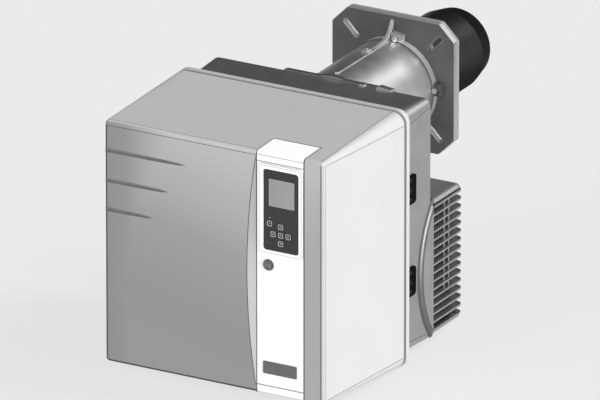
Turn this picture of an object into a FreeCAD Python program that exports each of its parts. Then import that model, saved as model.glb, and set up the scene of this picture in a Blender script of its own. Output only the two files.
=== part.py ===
import FreeCAD, Part
import math
import os

# Forced-draught light-oil burner with a silencing hood, all sizes in millimetres.
# +X is to the right seen from the hood's front, +Y points into the boiler and +Z is up. The origin
# is on the burner axis, in the plane where the flange gasket meets the boiler.

Vector = FreeCAD.Vector
ALONG = Vector(0, 1, 0)

# Fits and clearances
running_fit = 0.05
moving_gap = 0.3
close_gap = 0.1
edge_round_angles = (0.0, 30.0, 60.0, 90.0)

# Flange, gasket and clamp collar
flange_side = 245.0
flange_chamfer = 30.6
flange_corner_radius = 8.0
flange_rise = 6.7
flange_thickness = 11.5
flange_bore_gap = 3.0
gasket_thickness = 7.2
slot_inner_reach = 99.0
slot_outer_reach = 139.0
slot_width = 11.5
collar_step = 1.5
collar_depth = 14.0
lug_height = 12.0
lug_width = 22.0
lug_angles = (82.0, 6.0, -84.0, 186.0)
slot_angles = (45.0, 135.0, 225.0, 315.0)

# Blast tube
tube_radius = 75.0
tube_wall = 2.5
tube_straight = 176.0
tube_taper = 41.0
tube_mouth_radius = 66.7
tube_root = 60.0
tube_root_relief = 0.6

# Neck between housing and flange
neck_length = 206.5
neck_bore_gap = 5.0
neck_wall = 7.5
neck_radius = tube_radius + neck_bore_gap + neck_wall
collar_radius = neck_radius + collar_step
pad_thickness = 8.0
pad_margin = 16.5
pad_right_margin = 39.5
pad_left = neck_radius + pad_margin
pad_right = neck_radius + pad_right_margin
pad_bottom = neck_radius + pad_margin
pad_top = 84.0
pad_corner_radius = 14.0
rib_width = 6.0
rib_height = 1.8
rib_start = 9.0
rib_rise_depth = 33.3
rib_flange_height = 31.5
rib_arc_reach = 0.62
rib_arc_rise = 0.3

# Cast housing
housing_left = 239.4
housing_right = 198.1
housing_top = 82.4
housing_bottom = 371.0
housing_depth = 106.8
housing_wall = 5.0
housing_back_corner = 15.0
housing_front_corner = 26.0
housing_back_edge = 3.0
boss_radius = 9.0
boss_length = 26.0
boss_inset = 13.0

# Volute and fan
fan_left = 45.0
fan_below = 205.0
fan_radius = 85.0
fan_width = 64.0
fan_plate = 3.0
fan_rim_depth = 14.0
fan_blades = 36
fan_blade_thickness = 1.6
fan_blade_turn = 12.0
fan_back_gap = 16.0
fan_hub_radius = 16.0
fan_hub_length = 30.0
volute_start = 96.0
volute_growth = 1.55
volute_start_angle = 30.0
volute_steps = 14
volute_wall = 4.0
volute_sweep = 210.0
duct_right = 95.0
inlet_radius = 62.0
cone_wall = 2.0
cone_reach = 22.0

# Motor
shaft_radius = 7.0
motor_radius = 58.0
motor_wall = 4.0
motor_length = 122.0
motor_flange_radius = 75.0
motor_flange_thickness = 6.0
motor_cap_thickness = 10.0
motor_core_length = 84.0
rotor_radius = 28.0
air_gap = 0.5
bearing_radius = 16.0
bearing_width = 8.0
terminal_box_width = 56.0
terminal_box_height = 26.0
terminal_box_length = 70.0

# Pump, coupling and valve
adapter_radius = 42.0
adapter_wall = 10.0
adapter_length = 30.0
coupling_radius = 14.0
coupling_length = 17.0
coupling_inset = 8.0
pump_shaft_radius = 4.0
pump_shaft_reach = 10.0
pump_width = 62.0
pump_height = 66.0
pump_depth = 45.0
pump_cover_radius = 26.0
pump_cover_depth = 8.0
port_radius = 9.0
port_bore = 6.2
port_length = 18.0
port_bore_depth = 12.0
port_spacing = 30.0
valve_stem_radius = 9.0
valve_stem_height = 10.0
coil_width = 32.0
coil_depth = 36.0
coil_height = 36.0
pipe_radius = 3.0
pipe_rise = 67.5
bend_share = 0.45

# Equipment plate and what stands on it
plate_thickness = 6.0
plate_margin = 2.0
plate_corner = 22.0
screw_radius = 3.0
screw_head_radius = 5.0
screw_head_height = 5.0
screw_socket_radius = 2.4
screw_length = 24.0
post_radius = 10.5
post_sides = 6
post_gap = 21.6
post_bore_depth = 45.0
post_bore_gap = 2.2
transformer_width = 76.0
transformer_bottom = 17.0
transformer_height = 55.0
transformer_depth = 88.0
socket_depth = 45.0
control_left = 218.0
control_width = 140.0
control_bottom = 62.0
control_height = 114.0
control_base_depth = 22.0
control_unit_depth = 58.0
control_unit_inset = 6.0
sensor_right = 45.0
sensor_below = 40.0
sensor_radius = 9.0
sensor_length = 40.0
sensor_tip_radius = 8.0
sensor_tip_length = 16.0

# Nozzle line and mixing head
line_radius = 7.0
line_front = 48.0
line_travel = 10.0
spindle_radius = 4.0
spindle_bore_depth = 40.0
guide_width = 44.0
guide_bottom = 22.0
guide_top = 14.0
guide_depth = 20.0
bridge_reach = 64.0
bridge_leg = 6.0
bridge_thickness = 6.0
bridge_half_height = 10.0
knob_radius = 13.0
knob_depth = 13.0
knob_flutes = 12
knob_flute_radius = 2.0
stop_radius = 6.5
stop_depth = 2.5
holder_radius = 13.0
holder_length = 25.0
nozzle_radius = 7.5
nozzle_length = 17.0
diffuser_radius = 62.0
diffuser_thickness = 2.0
diffuser_slots = 8
diffuser_slot_width = 4.0
diffuser_slot_inner = 24.0
diffuser_slot_outer = 54.0
sleeve_wall = 2.5
electrode_spread = 12.0
electrode_rise = 26.0
insulator_radius = 5.0
insulator_length = 70.0
insulator_overhang = 28.0
electrode_wire_radius = 1.5
spark_half_gap = 3.0
spark_rise = 8.7
electrode_hole_gap = 2.5
clamp_half_width = 20.0
clamp_thickness = 12.0
clamp_reach = 137.0
clamp_holder_gap = 3.0
clamp_top_gap = 8.0
lead_radius = 3.5
lead_hole_gap = 1.0

# Air box, louvres and damper
air_box_left = 120.0
air_box_right = 203.0
air_box_top = 110.0
air_box_bottom = 367.5
air_box_depth = 110.6
air_box_wall = 4.0
air_box_top_radius = 14.0
air_box_bottom_radius = 20.0
air_box_back_edge = 12.0
cover_seam = 118.0
slat_count = 15
slat_pitch = 15.4
slat_thickness = 3.6
slat_depth = 18.0
slat_top_gap = 3.7
slat_top_margin = 10.1
slat_front_margin = 2.0
slat_wrap = 17.0
slat_rib_width = 4.0
slat_rib_inset = 4.8
slat_rib_places = (47.0, 63.5)
slat_ribbed_count = 11
cheek_depth = 45.0
cheek_top_margin = 4.0
cheek_bottom_margin = 1.5
cheek_edge_width = 9.0
partition_thickness = 6.0
damper_below = 240.0
damper_half_height = 58.0
damper_thickness = 3.0
damper_gap = 2.0
damper_shaft_radius = 5.0
damper_bearing_radius = 9.0
damper_bearing_length = 10.0
servo_width = 64.0
servo_height = 80.0
servo_depth = 80.0
servo_bore_depth = 40.0
servo_offset = 5.0

# Cable grommets
grommet_length = 41.1
grommet_height = 54.0
grommet_upper_top = 36.0
grommet_lower_top = 208.5
grommet_proud = 3.0
grommet_corner = 7.0
grommet_lap = 3.0
grommet_bumps = 3
grommet_bump_radius = 4.5
grommet_bump_height = 2.0

# Hood
hood_lap = 7.9
hood_depth = 283.5
hood_wall = 5.0
hood_skin = 2.0
hood_left_margin = 12.6
hood_right_margin = 11.9
hood_top_margin = 12.6
hood_bottom_margin = 16.0
hood_back_corner = 24.0
hood_left_draw = 12.2
hood_right_draw = 12.6
hood_top_draw = 6.6
hood_bottom_draw = 24.7
hood_front_corner = 7.0
hood_front_edge = 6.0
rim_depth = 10.0
rim_groove_width = 8.0
rim_groove_depth = 2.5
seal_gap = 0.4
foam_thickness = 12.0
foam_front_gap = 21.6
foam_back_gap = 37.0

# Front of the hood
column_left = 64.0
column_right = 158.0
column_joint_top = 70.0
column_joint_bottom = 346.0
column_cap_depth = 61.6
panel_bulge = 19.4
groove_levels = (33.0, -23.0, -77.0)
groove_lengths = (160.0, 125.0, 93.0)
groove_width = 5.0
groove_depth = 1.2

# Display, keys and lock
bezel_left = 67.0
bezel_right = 156.0
bezel_top = 67.0
bezel_bottom = 100.0
bezel_corner = 8.0
bezel_proud = 1.5
bezel_lap = 2.0
bezel_depth = 15.6
panel_left = 77.7
panel_right = 148.0
panel_top = 58.0
panel_bottom = 92.0
panel_thickness = 3.5
panel_proud = 0.5
lcd_left = 87.0
lcd_side = 51.0
lcd_bottom = 11.0
key_side = 10.4
key_corner = 2.0
key_depth = 11.0
key_proud = 1.4
key_pitch_across = 15.0
key_pitch_up = 15.4
key_cross_x = 112.7
key_cross_below = 60.5
mode_key_x = 90.7
mode_key_below = 41.8
led_x = 91.0
led_below = 31.0
led_radius = 1.5
board_thickness = 2.0
lock_x = 87.5
lock_below = 120.0
lock_head_radius = 10.0
lock_head_height = 2.0
lock_slot_width = 2.6
lock_slot_depth = 1.2
lock_shank_radius = 4.0
lock_engagement = 38.0
plate_left = 77.0
plate_right = 144.0
plate_top = 300.0
plate_bottom = 323.0
name_plate_thickness = 1.2
name_plate_corner = 2.0

# Planes along the burner axis, from the boiler forwards
y_gasket_front = -gasket_thickness
y_flange_front = y_gasket_front - flange_thickness
y_collar_front = y_flange_front - collar_depth
y_housing_back = y_collar_front - neck_length
y_housing_inner = y_housing_back - housing_wall
y_housing_front = y_housing_back - housing_depth
y_plate_front = y_housing_front - plate_thickness
y_hood_back = y_housing_front + hood_lap
y_hood_front = y_hood_back - hood_depth
y_skin_back = y_hood_front + hood_skin
y_hood_inner = y_hood_front + hood_wall
y_air_box_back = y_housing_back + air_box_depth
y_motor_back = y_plate_front - motor_flange_thickness
y_can_back = y_motor_back - motor_cap_thickness
y_can_front = y_can_back - motor_length
y_motor_front = y_can_front - motor_cap_thickness
y_pump_back = y_motor_front - adapter_length
y_coupling_back = y_motor_front - coupling_inset
y_coupling_front = y_coupling_back - coupling_length
y_shaft_front = y_coupling_back - coupling_length / 2
y_fan_front = y_housing_front + fan_back_gap
y_fan_back = y_fan_front + fan_width
y_line_front = y_plate_front - line_front
y_guide_front = y_plate_front - guide_depth
y_bridge_back = y_guide_front - bridge_reach
y_bridge_front = y_bridge_back - bridge_thickness
line_reach = clamp_reach + clamp_holder_gap
insulator_reach = clamp_reach + insulator_overhang
y_spindle_back = y_line_front + spindle_bore_depth - line_travel - bridge_leg
y_panel_front = y_hood_front - panel_proud
y_panel_back = y_panel_front + panel_thickness
y_bezel_back = y_hood_front + bezel_depth
y_board_front = y_bezel_back - board_thickness
y_post_front = y_hood_front + post_gap

# Hood outline, from the housing's
hood_back_left = housing_left + hood_left_margin
hood_back_right = housing_right + hood_right_margin
hood_back_top = housing_top + hood_top_margin
hood_back_bottom = housing_bottom + hood_bottom_margin
hood_front_left = hood_back_left - hood_left_draw
hood_front_right = hood_back_right - hood_right_draw
hood_front_top = hood_back_top - hood_top_draw
hood_front_bottom = hood_back_bottom - hood_bottom_draw

fan_x = -fan_left
fan_z = -fan_below
partition_middle = cover_seam - partition_thickness / 2
damper_z = -damper_below


def box(x_low, x_high, y_low, y_high, z_low, z_high):
    """A block between two corners."""
    corner = Vector(x_low, y_low, z_low)
    return Part.makeBox(x_high - x_low, y_high - y_low, z_high - z_low, corner)


def rod(radius, y_low, y_high, x=0.0, z=0.0):
    """A round bar along Y."""
    return Part.makeCylinder(radius, y_high - y_low, Vector(x, y_low, z), ALONG)


def ring(outer, inner, y_low, y_high, x=0.0, z=0.0):
    """A round tube along Y."""
    return rod(outer, y_low, y_high, x, z).cut(rod(inner, y_low, y_high, x, z))


def cone(radius_low, radius_high, y_low, y_high, x=0.0, z=0.0):
    """A tapered bar along Y."""
    return Part.makeCone(radius_low, radius_high, y_high - y_low, Vector(x, y_low, z), ALONG)


def join(pieces):
    """One solid from several that touch or overlap."""
    whole = pieces[0].fuse(pieces[1:])
    return whole.removeSplitter()


def corner_arc(x, z, y, radius, start_angle):
    """A quarter circle about (x, z), from start_angle to 90 degrees further."""
    angles = [math.radians(start_angle + part) for part in (0.0, 45.0, 90.0)]
    points = [Vector(x + radius * math.cos(a), y, z + radius * math.sin(a)) for a in angles]
    return Part.Arc(*points).toShape()


def rounded_outline(x_low, x_high, z_low, z_high, y, radii):
    """A rectangle in an XZ plane; radii go round from bottom left to bottom right, top right, top left."""
    bottom_left, bottom_right, top_right, top_left = radii
    arcs = [
        corner_arc(x_low + bottom_left, z_low + bottom_left, y, bottom_left, 180.0),
        corner_arc(x_high - bottom_right, z_low + bottom_right, y, bottom_right, 270.0),
        corner_arc(x_high - top_right, z_high - top_right, y, top_right, 0.0),
        corner_arc(x_low + top_left, z_high - top_left, y, top_left, 90.0),
    ]
    edges = []
    for index, arc in enumerate(arcs):
        following = arcs[(index + 1) % len(arcs)]
        edges.append(arc)
        edges.append(Part.makeLine(arc.lastVertex().Point, following.firstVertex().Point))
    return Part.Wire(edges)


def rounded_block(x_low, x_high, y_low, y_high, z_low, z_high, radius):
    """A block whose four edges along Y are rounded."""
    outline = rounded_outline(x_low, x_high, z_low, z_high, y_low, (radius,) * 4)
    return Part.Face(outline).extrude(Vector(0, y_high - y_low, 0))


def edge_steps(radius):
    """Depth and inset of the sections that round an end edge, from the side to the end face."""
    angles = [math.radians(step) for step in edge_round_angles]
    return [(radius * (1 - math.sin(a)), radius * (1 - math.cos(a))) for a in angles]


def bent_bar(points, radius):
    """A round bar along straight runs joined by tangent arcs."""
    path = []
    start = points[0]
    for before, corner, after in zip(points, points[1:], points[2:]):
        back = before.sub(corner)
        ahead = after.sub(corner)
        half_turn = (math.pi - back.getAngle(ahead)) / 2
        trim = bend_share * min(back.Length, ahead.Length)
        arc_start = corner.add(Vector(back).normalize().multiply(trim))
        arc_end = corner.add(Vector(ahead).normalize().multiply(trim))
        inwards = Vector(back).normalize().add(Vector(ahead).normalize()).normalize()
        arc_radius = trim / math.tan(half_turn)
        centre = corner.add(Vector(inwards).multiply(arc_radius / math.cos(half_turn)))
        middle = centre.sub(Vector(inwards).multiply(arc_radius))
        path.append(Part.makeLine(start, arc_start))
        path.append(Part.Arc(arc_start, middle, arc_end).toShape())
        start = arc_end
    path.append(Part.makeLine(start, points[-1]))
    spine = Part.Wire(path)
    direction = points[1].sub(points[0])
    section = Part.Wire(Part.makeCircle(radius, points[0], direction))
    return spine.makePipeShell([section], True, True)


def save(name, shape):
    """Write one node."""
    shape.exportStep("parts/" + name + ".step")


def flange_outline(y):
    """The square flange with its corners cut off, as a wire."""
    half = flange_side / 2
    cut = half - flange_chamfer
    points = [
        (-half, -cut), (-cut, -half), (cut, -half), (half, -cut),
        (half, cut), (cut, half), (-cut, half), (-half, cut),
    ]
    corners = [Vector(x, y, z + flange_rise) for x, z in points]
    return Part.makePolygon(corners + corners[:1])


def slot_cutter(angle, y_low, y_high):
    """One radial fixing slot, measured from the middle of the square."""
    inner = slot_inner_reach + slot_width / 2
    outer = slot_outer_reach - slot_width / 2
    depth = y_high - y_low
    across = Vector(inner, y_low, flange_rise - slot_width / 2)
    shape = Part.makeBox(outer - inner, depth, slot_width, across)
    for reach in (inner, outer):
        shape = shape.fuse(rod(slot_width / 2, y_low, y_high, reach, flange_rise))
    shape.rotate(Vector(0, 0, flange_rise), ALONG, angle)
    return shape


def flange_slab(y_low, y_high):
    """The flange's outline as a slab with its bore and slots."""
    slab = Part.Face(flange_outline(y_low)).extrude(Vector(0, y_high - y_low, 0))
    upright = [
        edge for edge in slab.Edges
        if abs(edge.firstVertex().Y - edge.lastVertex().Y) > (y_high - y_low) / 2
    ]
    slab = slab.makeFillet(flange_corner_radius, upright)
    slab = slab.cut(rod(tube_radius + flange_bore_gap, y_low, y_high))
    for angle in slot_angles:
        slab = slab.cut(slot_cutter(angle, y_low, y_high))
    return slab


def around_axis(shape, angle):
    """A copy turned about the burner axis, counter-clockwise seen from the front."""
    turned = shape.copy()
    turned.rotate(Vector(0, 0, 0), ALONG, -angle)
    return turned


def lug_screw_spots():
    """The collar screws' places in the XZ plane."""
    reach = collar_radius + lug_height / 2 - screw_radius / 2
    spots = []
    for angle in lug_angles:
        turn = math.radians(angle)
        spots.append((reach * math.cos(turn), reach * math.sin(turn)))
    return spots


def make_flange():
    """Gasket, cast flange plate with the rear end of the rib, and the clamp collar."""
    save("flange_gasket", flange_slab(y_gasket_front, 0.0))
    plate = flange_slab(y_flange_front, y_gasket_front)
    rib_low = collar_radius + moving_gap
    rib_high = neck_radius + rib_flange_height
    gusset = box(-rib_width / 2, rib_width / 2, y_collar_front, y_flange_front, rib_low, rib_high)
    slope = rib_rise_depth - (y_flange_front - y_collar_front)
    top_cut = rib_top_profile(y_collar_front - slope, y_flange_front)
    plate = join([plate, gusset.common(top_cut)])
    for x, z in lug_screw_spots():
        plate = plate.cut(rod(screw_radius + close_gap, y_flange_front, y_gasket_front, x, z))
    save("flange_plate", plate)

    bore = tube_radius - tube_root_relief + moving_gap
    collar = rod(collar_radius, y_collar_front, y_flange_front)
    lugs = []
    for angle in lug_angles:
        lug = box(
            collar_radius - lug_height, collar_radius + lug_height,
            y_collar_front, y_flange_front, -lug_width / 2, lug_width / 2,
        )
        lugs.append(around_axis(lug, angle))
    collar = join([collar] + lugs)
    keep_clear = box(
        -rib_width / 2 - moving_gap, rib_width / 2 + moving_gap,
        y_collar_front, y_flange_front, collar_radius, collar_radius + 2 * lug_height,
    )
    collar = collar.cut(keep_clear)
    collar = collar.cut(rod(bore, y_collar_front, y_flange_front))
    for x, z in lug_screw_spots():
        collar = collar.cut(rod(screw_radius + close_gap, y_collar_front, y_flange_front, x, z))
    save("clamp_collar", collar)


def rib_top_profile(y_low, y_high):
    """The solid under the rib's top line: level along the neck, rising in an arc to the flange."""
    low = Vector(0, y_low, neck_radius + rib_height)
    high = Vector(0, y_high, neck_radius + rib_flange_height)
    middle = Vector(
        0, y_low + rib_arc_reach * (y_high - y_low), low.z + rib_arc_rise * (high.z - low.z)
    )
    arc = Part.Arc(low, middle, high).toShape()
    foot_high = Vector(0, y_high, 0)
    foot_low = Vector(0, y_low, 0)
    edges = [
        arc,
        Part.makeLine(high, foot_high),
        Part.makeLine(foot_high, foot_low),
        Part.makeLine(foot_low, low),
    ]
    face = Part.Face(Part.Wire(edges))
    face.translate(Vector(-rib_width / 2, 0, 0))
    return face.extrude(Vector(rib_width, 0, 0))


def pad_screw_spots():
    """The neck screws' places on the pad."""
    inset = pad_corner_radius
    return [
        (-pad_left + inset, -pad_bottom + inset),
        (pad_right - inset, -pad_bottom + inset),
        (pad_right - inset, pad_top - inset),
        (-pad_left + inset, pad_top - inset),
    ]


def make_neck():
    """Turned aluminium neck with its fixing pad and the thin rib along its top."""
    tube = rod(neck_radius, y_housing_back, y_collar_front)
    pad_front = y_housing_back + pad_thickness
    pad = rounded_block(
        -pad_left, pad_right, y_housing_back, pad_front, -pad_bottom, pad_top, pad_corner_radius
    )
    rib_y_low = pad_front + rib_start
    rise_start = y_flange_front - rib_rise_depth
    level = box(
        -rib_width / 2, rib_width / 2, rib_y_low, rise_start,
        neck_radius - neck_wall, neck_radius + rib_height,
    )
    rising = rib_top_profile(rise_start, y_flange_front)
    rising = rising.common(box(
        -rib_width, rib_width, rise_start, y_collar_front,
        neck_radius - neck_wall, neck_radius + rib_flange_height,
    ))
    neck = join([tube, pad, level, rising])
    neck = neck.cut(rod(neck_radius - neck_wall, y_housing_back, y_collar_front))
    for x, z in pad_screw_spots():
        neck = neck.cut(rod(screw_radius + close_gap, y_housing_back, pad_front, x, z))
    save("neck", neck)


def cap_screw(x, z, y_seat, length, direction):
    """A socket-head screw: head on the seat's free side, shank along direction."""
    tip = y_seat + direction * length
    top = y_seat - direction * screw_head_height
    shank = rod(screw_radius, min(y_seat, tip), max(y_seat, tip), x, z)
    head = rod(screw_head_radius, min(y_seat, top), max(y_seat, top), x, z)
    socket_floor = y_seat - direction * screw_head_height / 2
    socket = rod(screw_socket_radius, min(top, socket_floor), max(top, socket_floor), x, z)
    return shank.fuse(head).removeSplitter().cut(socket)


def make_case_screws():
    """The same socket-head screws hold the neck to the housing and the collar to the flange."""
    screws = []
    for x, z in pad_screw_spots():
        screws.append(cap_screw(x, z, y_housing_back + pad_thickness, screw_length / 2, -1))
    for x, z in lug_screw_spots():
        screws.append(cap_screw(x, z, y_collar_front, screw_length, 1))
    save("case_screws", Part.makeCompound(screws))


def tube_body(inset):
    """The blast tube's outer form, or its bore when inset is the wall."""
    root = rod(tube_radius - tube_root_relief - inset, -tube_root, y_flange_front)
    straight = rod(tube_radius - inset, y_flange_front, tube_straight)
    mouth = cone(
        tube_radius - inset, tube_mouth_radius - inset, tube_straight, tube_straight + tube_taper
    )
    return join([root, straight, mouth])


def make_blast_tube():
    """Heat-resistant steel tube, slightly drawn in at its mouth."""
    save("blast_tube", tube_body(0.0).cut(tube_body(tube_wall)))


def housing_block(inset, y_back, y_front):
    """The housing's rounded form, its corners tighter at the back than at the front."""
    sections = []
    for depth, edge_inset in reversed(edge_steps(housing_back_edge)):
        sections.append((y_back - depth, edge_inset, housing_back_corner))
    sections.append((y_front, 0.0, housing_front_corner))
    wires = []
    for y, edge_inset, corner in sections:
        total = inset + edge_inset
        radius = corner - total
        wires.append(rounded_outline(
            -housing_left + total, housing_right - total,
            -housing_bottom + total, housing_top - total, y, (radius,) * 4,
        ))
    return Part.makeLoft(wires, True, True)


def plate_screw_spots():
    """The equipment plate's screws, in the corners and half-way up both sides."""
    left = -housing_left + boss_inset
    right = housing_right - boss_inset
    top = housing_top - boss_inset
    bottom = -housing_bottom + boss_inset
    middle = (top + bottom) / 2
    return [(left, top), (right, top), (left, middle), (right, middle), (left, bottom), (right, bottom)]


def volute_points(offset):
    """The spiral's points, growing evenly from the tongue round to the left-hand duct wall."""
    points = []
    for step in range(volute_steps + 1):
        part = step / volute_steps
        turn = math.radians(volute_start_angle - volute_sweep * part)
        reach = volute_start * volute_growth ** part + offset
        points.append(Vector(
            fan_x + reach * math.cos(turn), y_housing_front, fan_z + reach * math.sin(turn)
        ))
    return points


def volute_wall_shape():
    """The cast spiral wall round the fan and the two walls that lead the air up to the neck."""
    depth = y_housing_inner - y_housing_front
    inner = Part.BSplineCurve()
    inner.interpolate(volute_points(0.0))
    outer = Part.BSplineCurve()
    outer.interpolate(volute_points(volute_wall))
    inner_edge = inner.toShape()
    outer_edge = outer.toShape()
    outline = Part.Wire([
        inner_edge,
        Part.makeLine(inner_edge.lastVertex().Point, outer_edge.lastVertex().Point),
        outer_edge,
        Part.makeLine(outer_edge.firstVertex().Point, inner_edge.firstVertex().Point),
    ])
    spiral = Part.Face(outline).extrude(Vector(0, depth, 0))
    tongue = volute_points(0.0)[0]
    duct_end = volute_points(0.0)[-1]
    roof = housing_top - housing_wall
    left_wall = box(
        duct_end.x - volute_wall, duct_end.x, y_housing_front, y_housing_inner, duct_end.z, roof
    )
    slope_points = [
        Vector(tongue.x, y_housing_front, tongue.z),
        Vector(duct_right, y_housing_front, -neck_radius),
        Vector(duct_right + volute_wall, y_housing_front, -neck_radius),
        Vector(tongue.x + volute_wall, y_housing_front, tongue.z - volute_wall / 2),
    ]
    slope = Part.Face(Part.makePolygon(slope_points + slope_points[:1]))
    slope = slope.extrude(Vector(0, depth, 0))
    right_wall = box(
        duct_right, duct_right + volute_wall, y_housing_front, y_housing_inner, -neck_radius, roof
    )
    return [spiral, left_wall, slope, right_wall]


def grommet_spots():
    """Top edges of the two cable entries."""
    return [-grommet_upper_top, -grommet_lower_top]


def make_housing():
    """Cast aluminium fan housing, open to the front, with the volute cast in."""
    outer = housing_block(0.0, y_housing_back, y_housing_front)
    hollow = housing_block(housing_wall, y_housing_inner, y_housing_front)
    bosses = []
    for x, z in plate_screw_spots():
        boss = rod(boss_radius, y_housing_front, y_housing_front + boss_length, x, z)
        bosses.append(boss.common(outer))
    housing = join([outer.cut(hollow)] + bosses + volute_wall_shape())
    housing = housing.cut(rod(neck_radius - neck_wall, y_housing_inner, y_housing_back))
    housing = housing.cut(rod(inlet_radius, y_housing_inner, y_housing_back, fan_x, fan_z))
    shaft_hole = damper_shaft_radius + moving_gap
    housing = housing.cut(
        rod(shaft_hole, y_housing_inner, y_housing_back, partition_middle, damper_z)
    )
    for x, z in plate_screw_spots():
        housing = housing.cut(rod(
            screw_radius + close_gap, y_housing_front, y_housing_front + boss_length, x, z
        ))
    for x, z in pad_screw_spots():
        housing = housing.cut(rod(screw_radius + close_gap, y_housing_inner, y_housing_back, x, z))
    for top in grommet_spots():
        housing = housing.cut(box(
            housing_right - housing_wall, housing_right,
            y_housing_front, y_hood_back + grommet_length - grommet_lap,
            top - grommet_height + grommet_lap, top - grommet_lap,
        ))
    save("burner_housing", housing)


def make_inlet_cone():
    """Spun inlet cone between the housing's back wall and the fan's eye."""
    seat = y_housing_inner
    flange = ring(fan_radius, inlet_radius, seat - cone_wall, seat, fan_x, fan_z)
    wide = inlet_radius + cone_wall
    mouth = cone(wide - cone_wall / 2, wide, seat - cone_reach, seat, fan_x, fan_z)
    bore = cone(
        wide - cone_wall / 2 - cone_wall, inlet_radius, seat - cone_reach, seat, fan_x, fan_z
    )
    save("inlet_cone", join([flange, mouth]).cut(bore))


def make_fan_wheel():
    """Forward-curved drum fan: back plate, hub, blades and the rim round its eye."""
    plate = rod(fan_radius, y_fan_front, y_fan_front + fan_plate, fan_x, fan_z)
    hub = rod(fan_hub_radius, y_fan_front, y_fan_front + fan_hub_length, fan_x, fan_z)
    rim = ring(
        fan_radius, fan_radius - fan_rim_depth, y_fan_back - fan_plate, y_fan_back, fan_x, fan_z
    )
    pieces = [plate, hub, rim]
    blade_depth = fan_rim_depth - fan_blade_thickness
    for index in range(fan_blades):
        blade = box(
            fan_x + fan_radius - blade_depth, fan_x + fan_radius - fan_blade_thickness / 2,
            y_fan_front, y_fan_back,
            fan_z - fan_blade_thickness / 2, fan_z + fan_blade_thickness / 2,
        )
        tip = Vector(fan_x + fan_radius - blade_depth, 0, fan_z)
        blade.rotate(tip, ALONG, fan_blade_turn)
        blade.rotate(Vector(fan_x, 0, fan_z), ALONG, 360.0 * index / fan_blades)
        pieces.append(blade)
    wheel = join(pieces)
    envelope = rod(fan_radius, y_fan_front, y_fan_back, fan_x, fan_z)
    wheel = wheel.common(envelope)
    bore = rod(
        shaft_radius + running_fit, y_fan_front, y_fan_front + fan_hub_length, fan_x, fan_z
    )
    save("fan_wheel", wheel.cut(bore))


def make_motor():
    """Fan motor: can, two end caps, core, rotor on its shaft, bearings and terminal box."""
    can_inner = motor_radius - motor_wall
    bore = shaft_radius + moving_gap
    seat = bearing_radius + running_fit
    can = ring(motor_radius, can_inner, y_can_front, y_can_back, fan_x, fan_z)
    save("motor_frame", can)

    back = join([
        rod(motor_flange_radius, y_motor_back, y_plate_front, fan_x, fan_z),
        rod(motor_radius, y_can_back, y_motor_back, fan_x, fan_z),
    ])
    back = back.cut(rod(bore, y_can_back, y_plate_front, fan_x, fan_z))
    back = back.cut(rod(seat, y_can_back, y_can_back + bearing_width, fan_x, fan_z))
    front = rod(motor_radius, y_motor_front, y_can_front, fan_x, fan_z)
    front = front.cut(rod(bore, y_motor_front, y_can_front, fan_x, fan_z))
    front = front.cut(rod(seat, y_can_front - bearing_width, y_can_front, fan_x, fan_z))
    save("motor_end_caps", Part.makeCompound([back, front]))

    inner = shaft_radius + running_fit
    bearings = [
        ring(bearing_radius, inner, y_can_back, y_can_back + bearing_width, fan_x, fan_z),
        ring(bearing_radius, inner, y_can_front - bearing_width, y_can_front, fan_x, fan_z),
    ]
    save("motor_bearings", Part.makeCompound(bearings))

    core_front = (y_can_front + y_can_back - motor_core_length) / 2
    core_back = core_front + motor_core_length
    save("motor_stator", ring(can_inner, rotor_radius + air_gap, core_front, core_back, fan_x, fan_z))
    shaft = rod(shaft_radius, y_shaft_front, y_fan_front + fan_hub_length, fan_x, fan_z)
    core = rod(rotor_radius, core_front, core_back, fan_x, fan_z)
    save("motor_rotor", join([shaft, core]))

    box_back = y_can_back - motor_wall
    terminal = rounded_block(
        fan_x - terminal_box_width / 2, fan_x + terminal_box_width / 2,
        box_back - terminal_box_length, box_back,
        fan_z + motor_radius - 2 * motor_wall, fan_z + motor_radius + terminal_box_height,
        motor_wall,
    )
    save("motor_terminal_box", terminal.cut(rod(motor_radius, y_can_front, y_can_back, fan_x, fan_z)))


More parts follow.
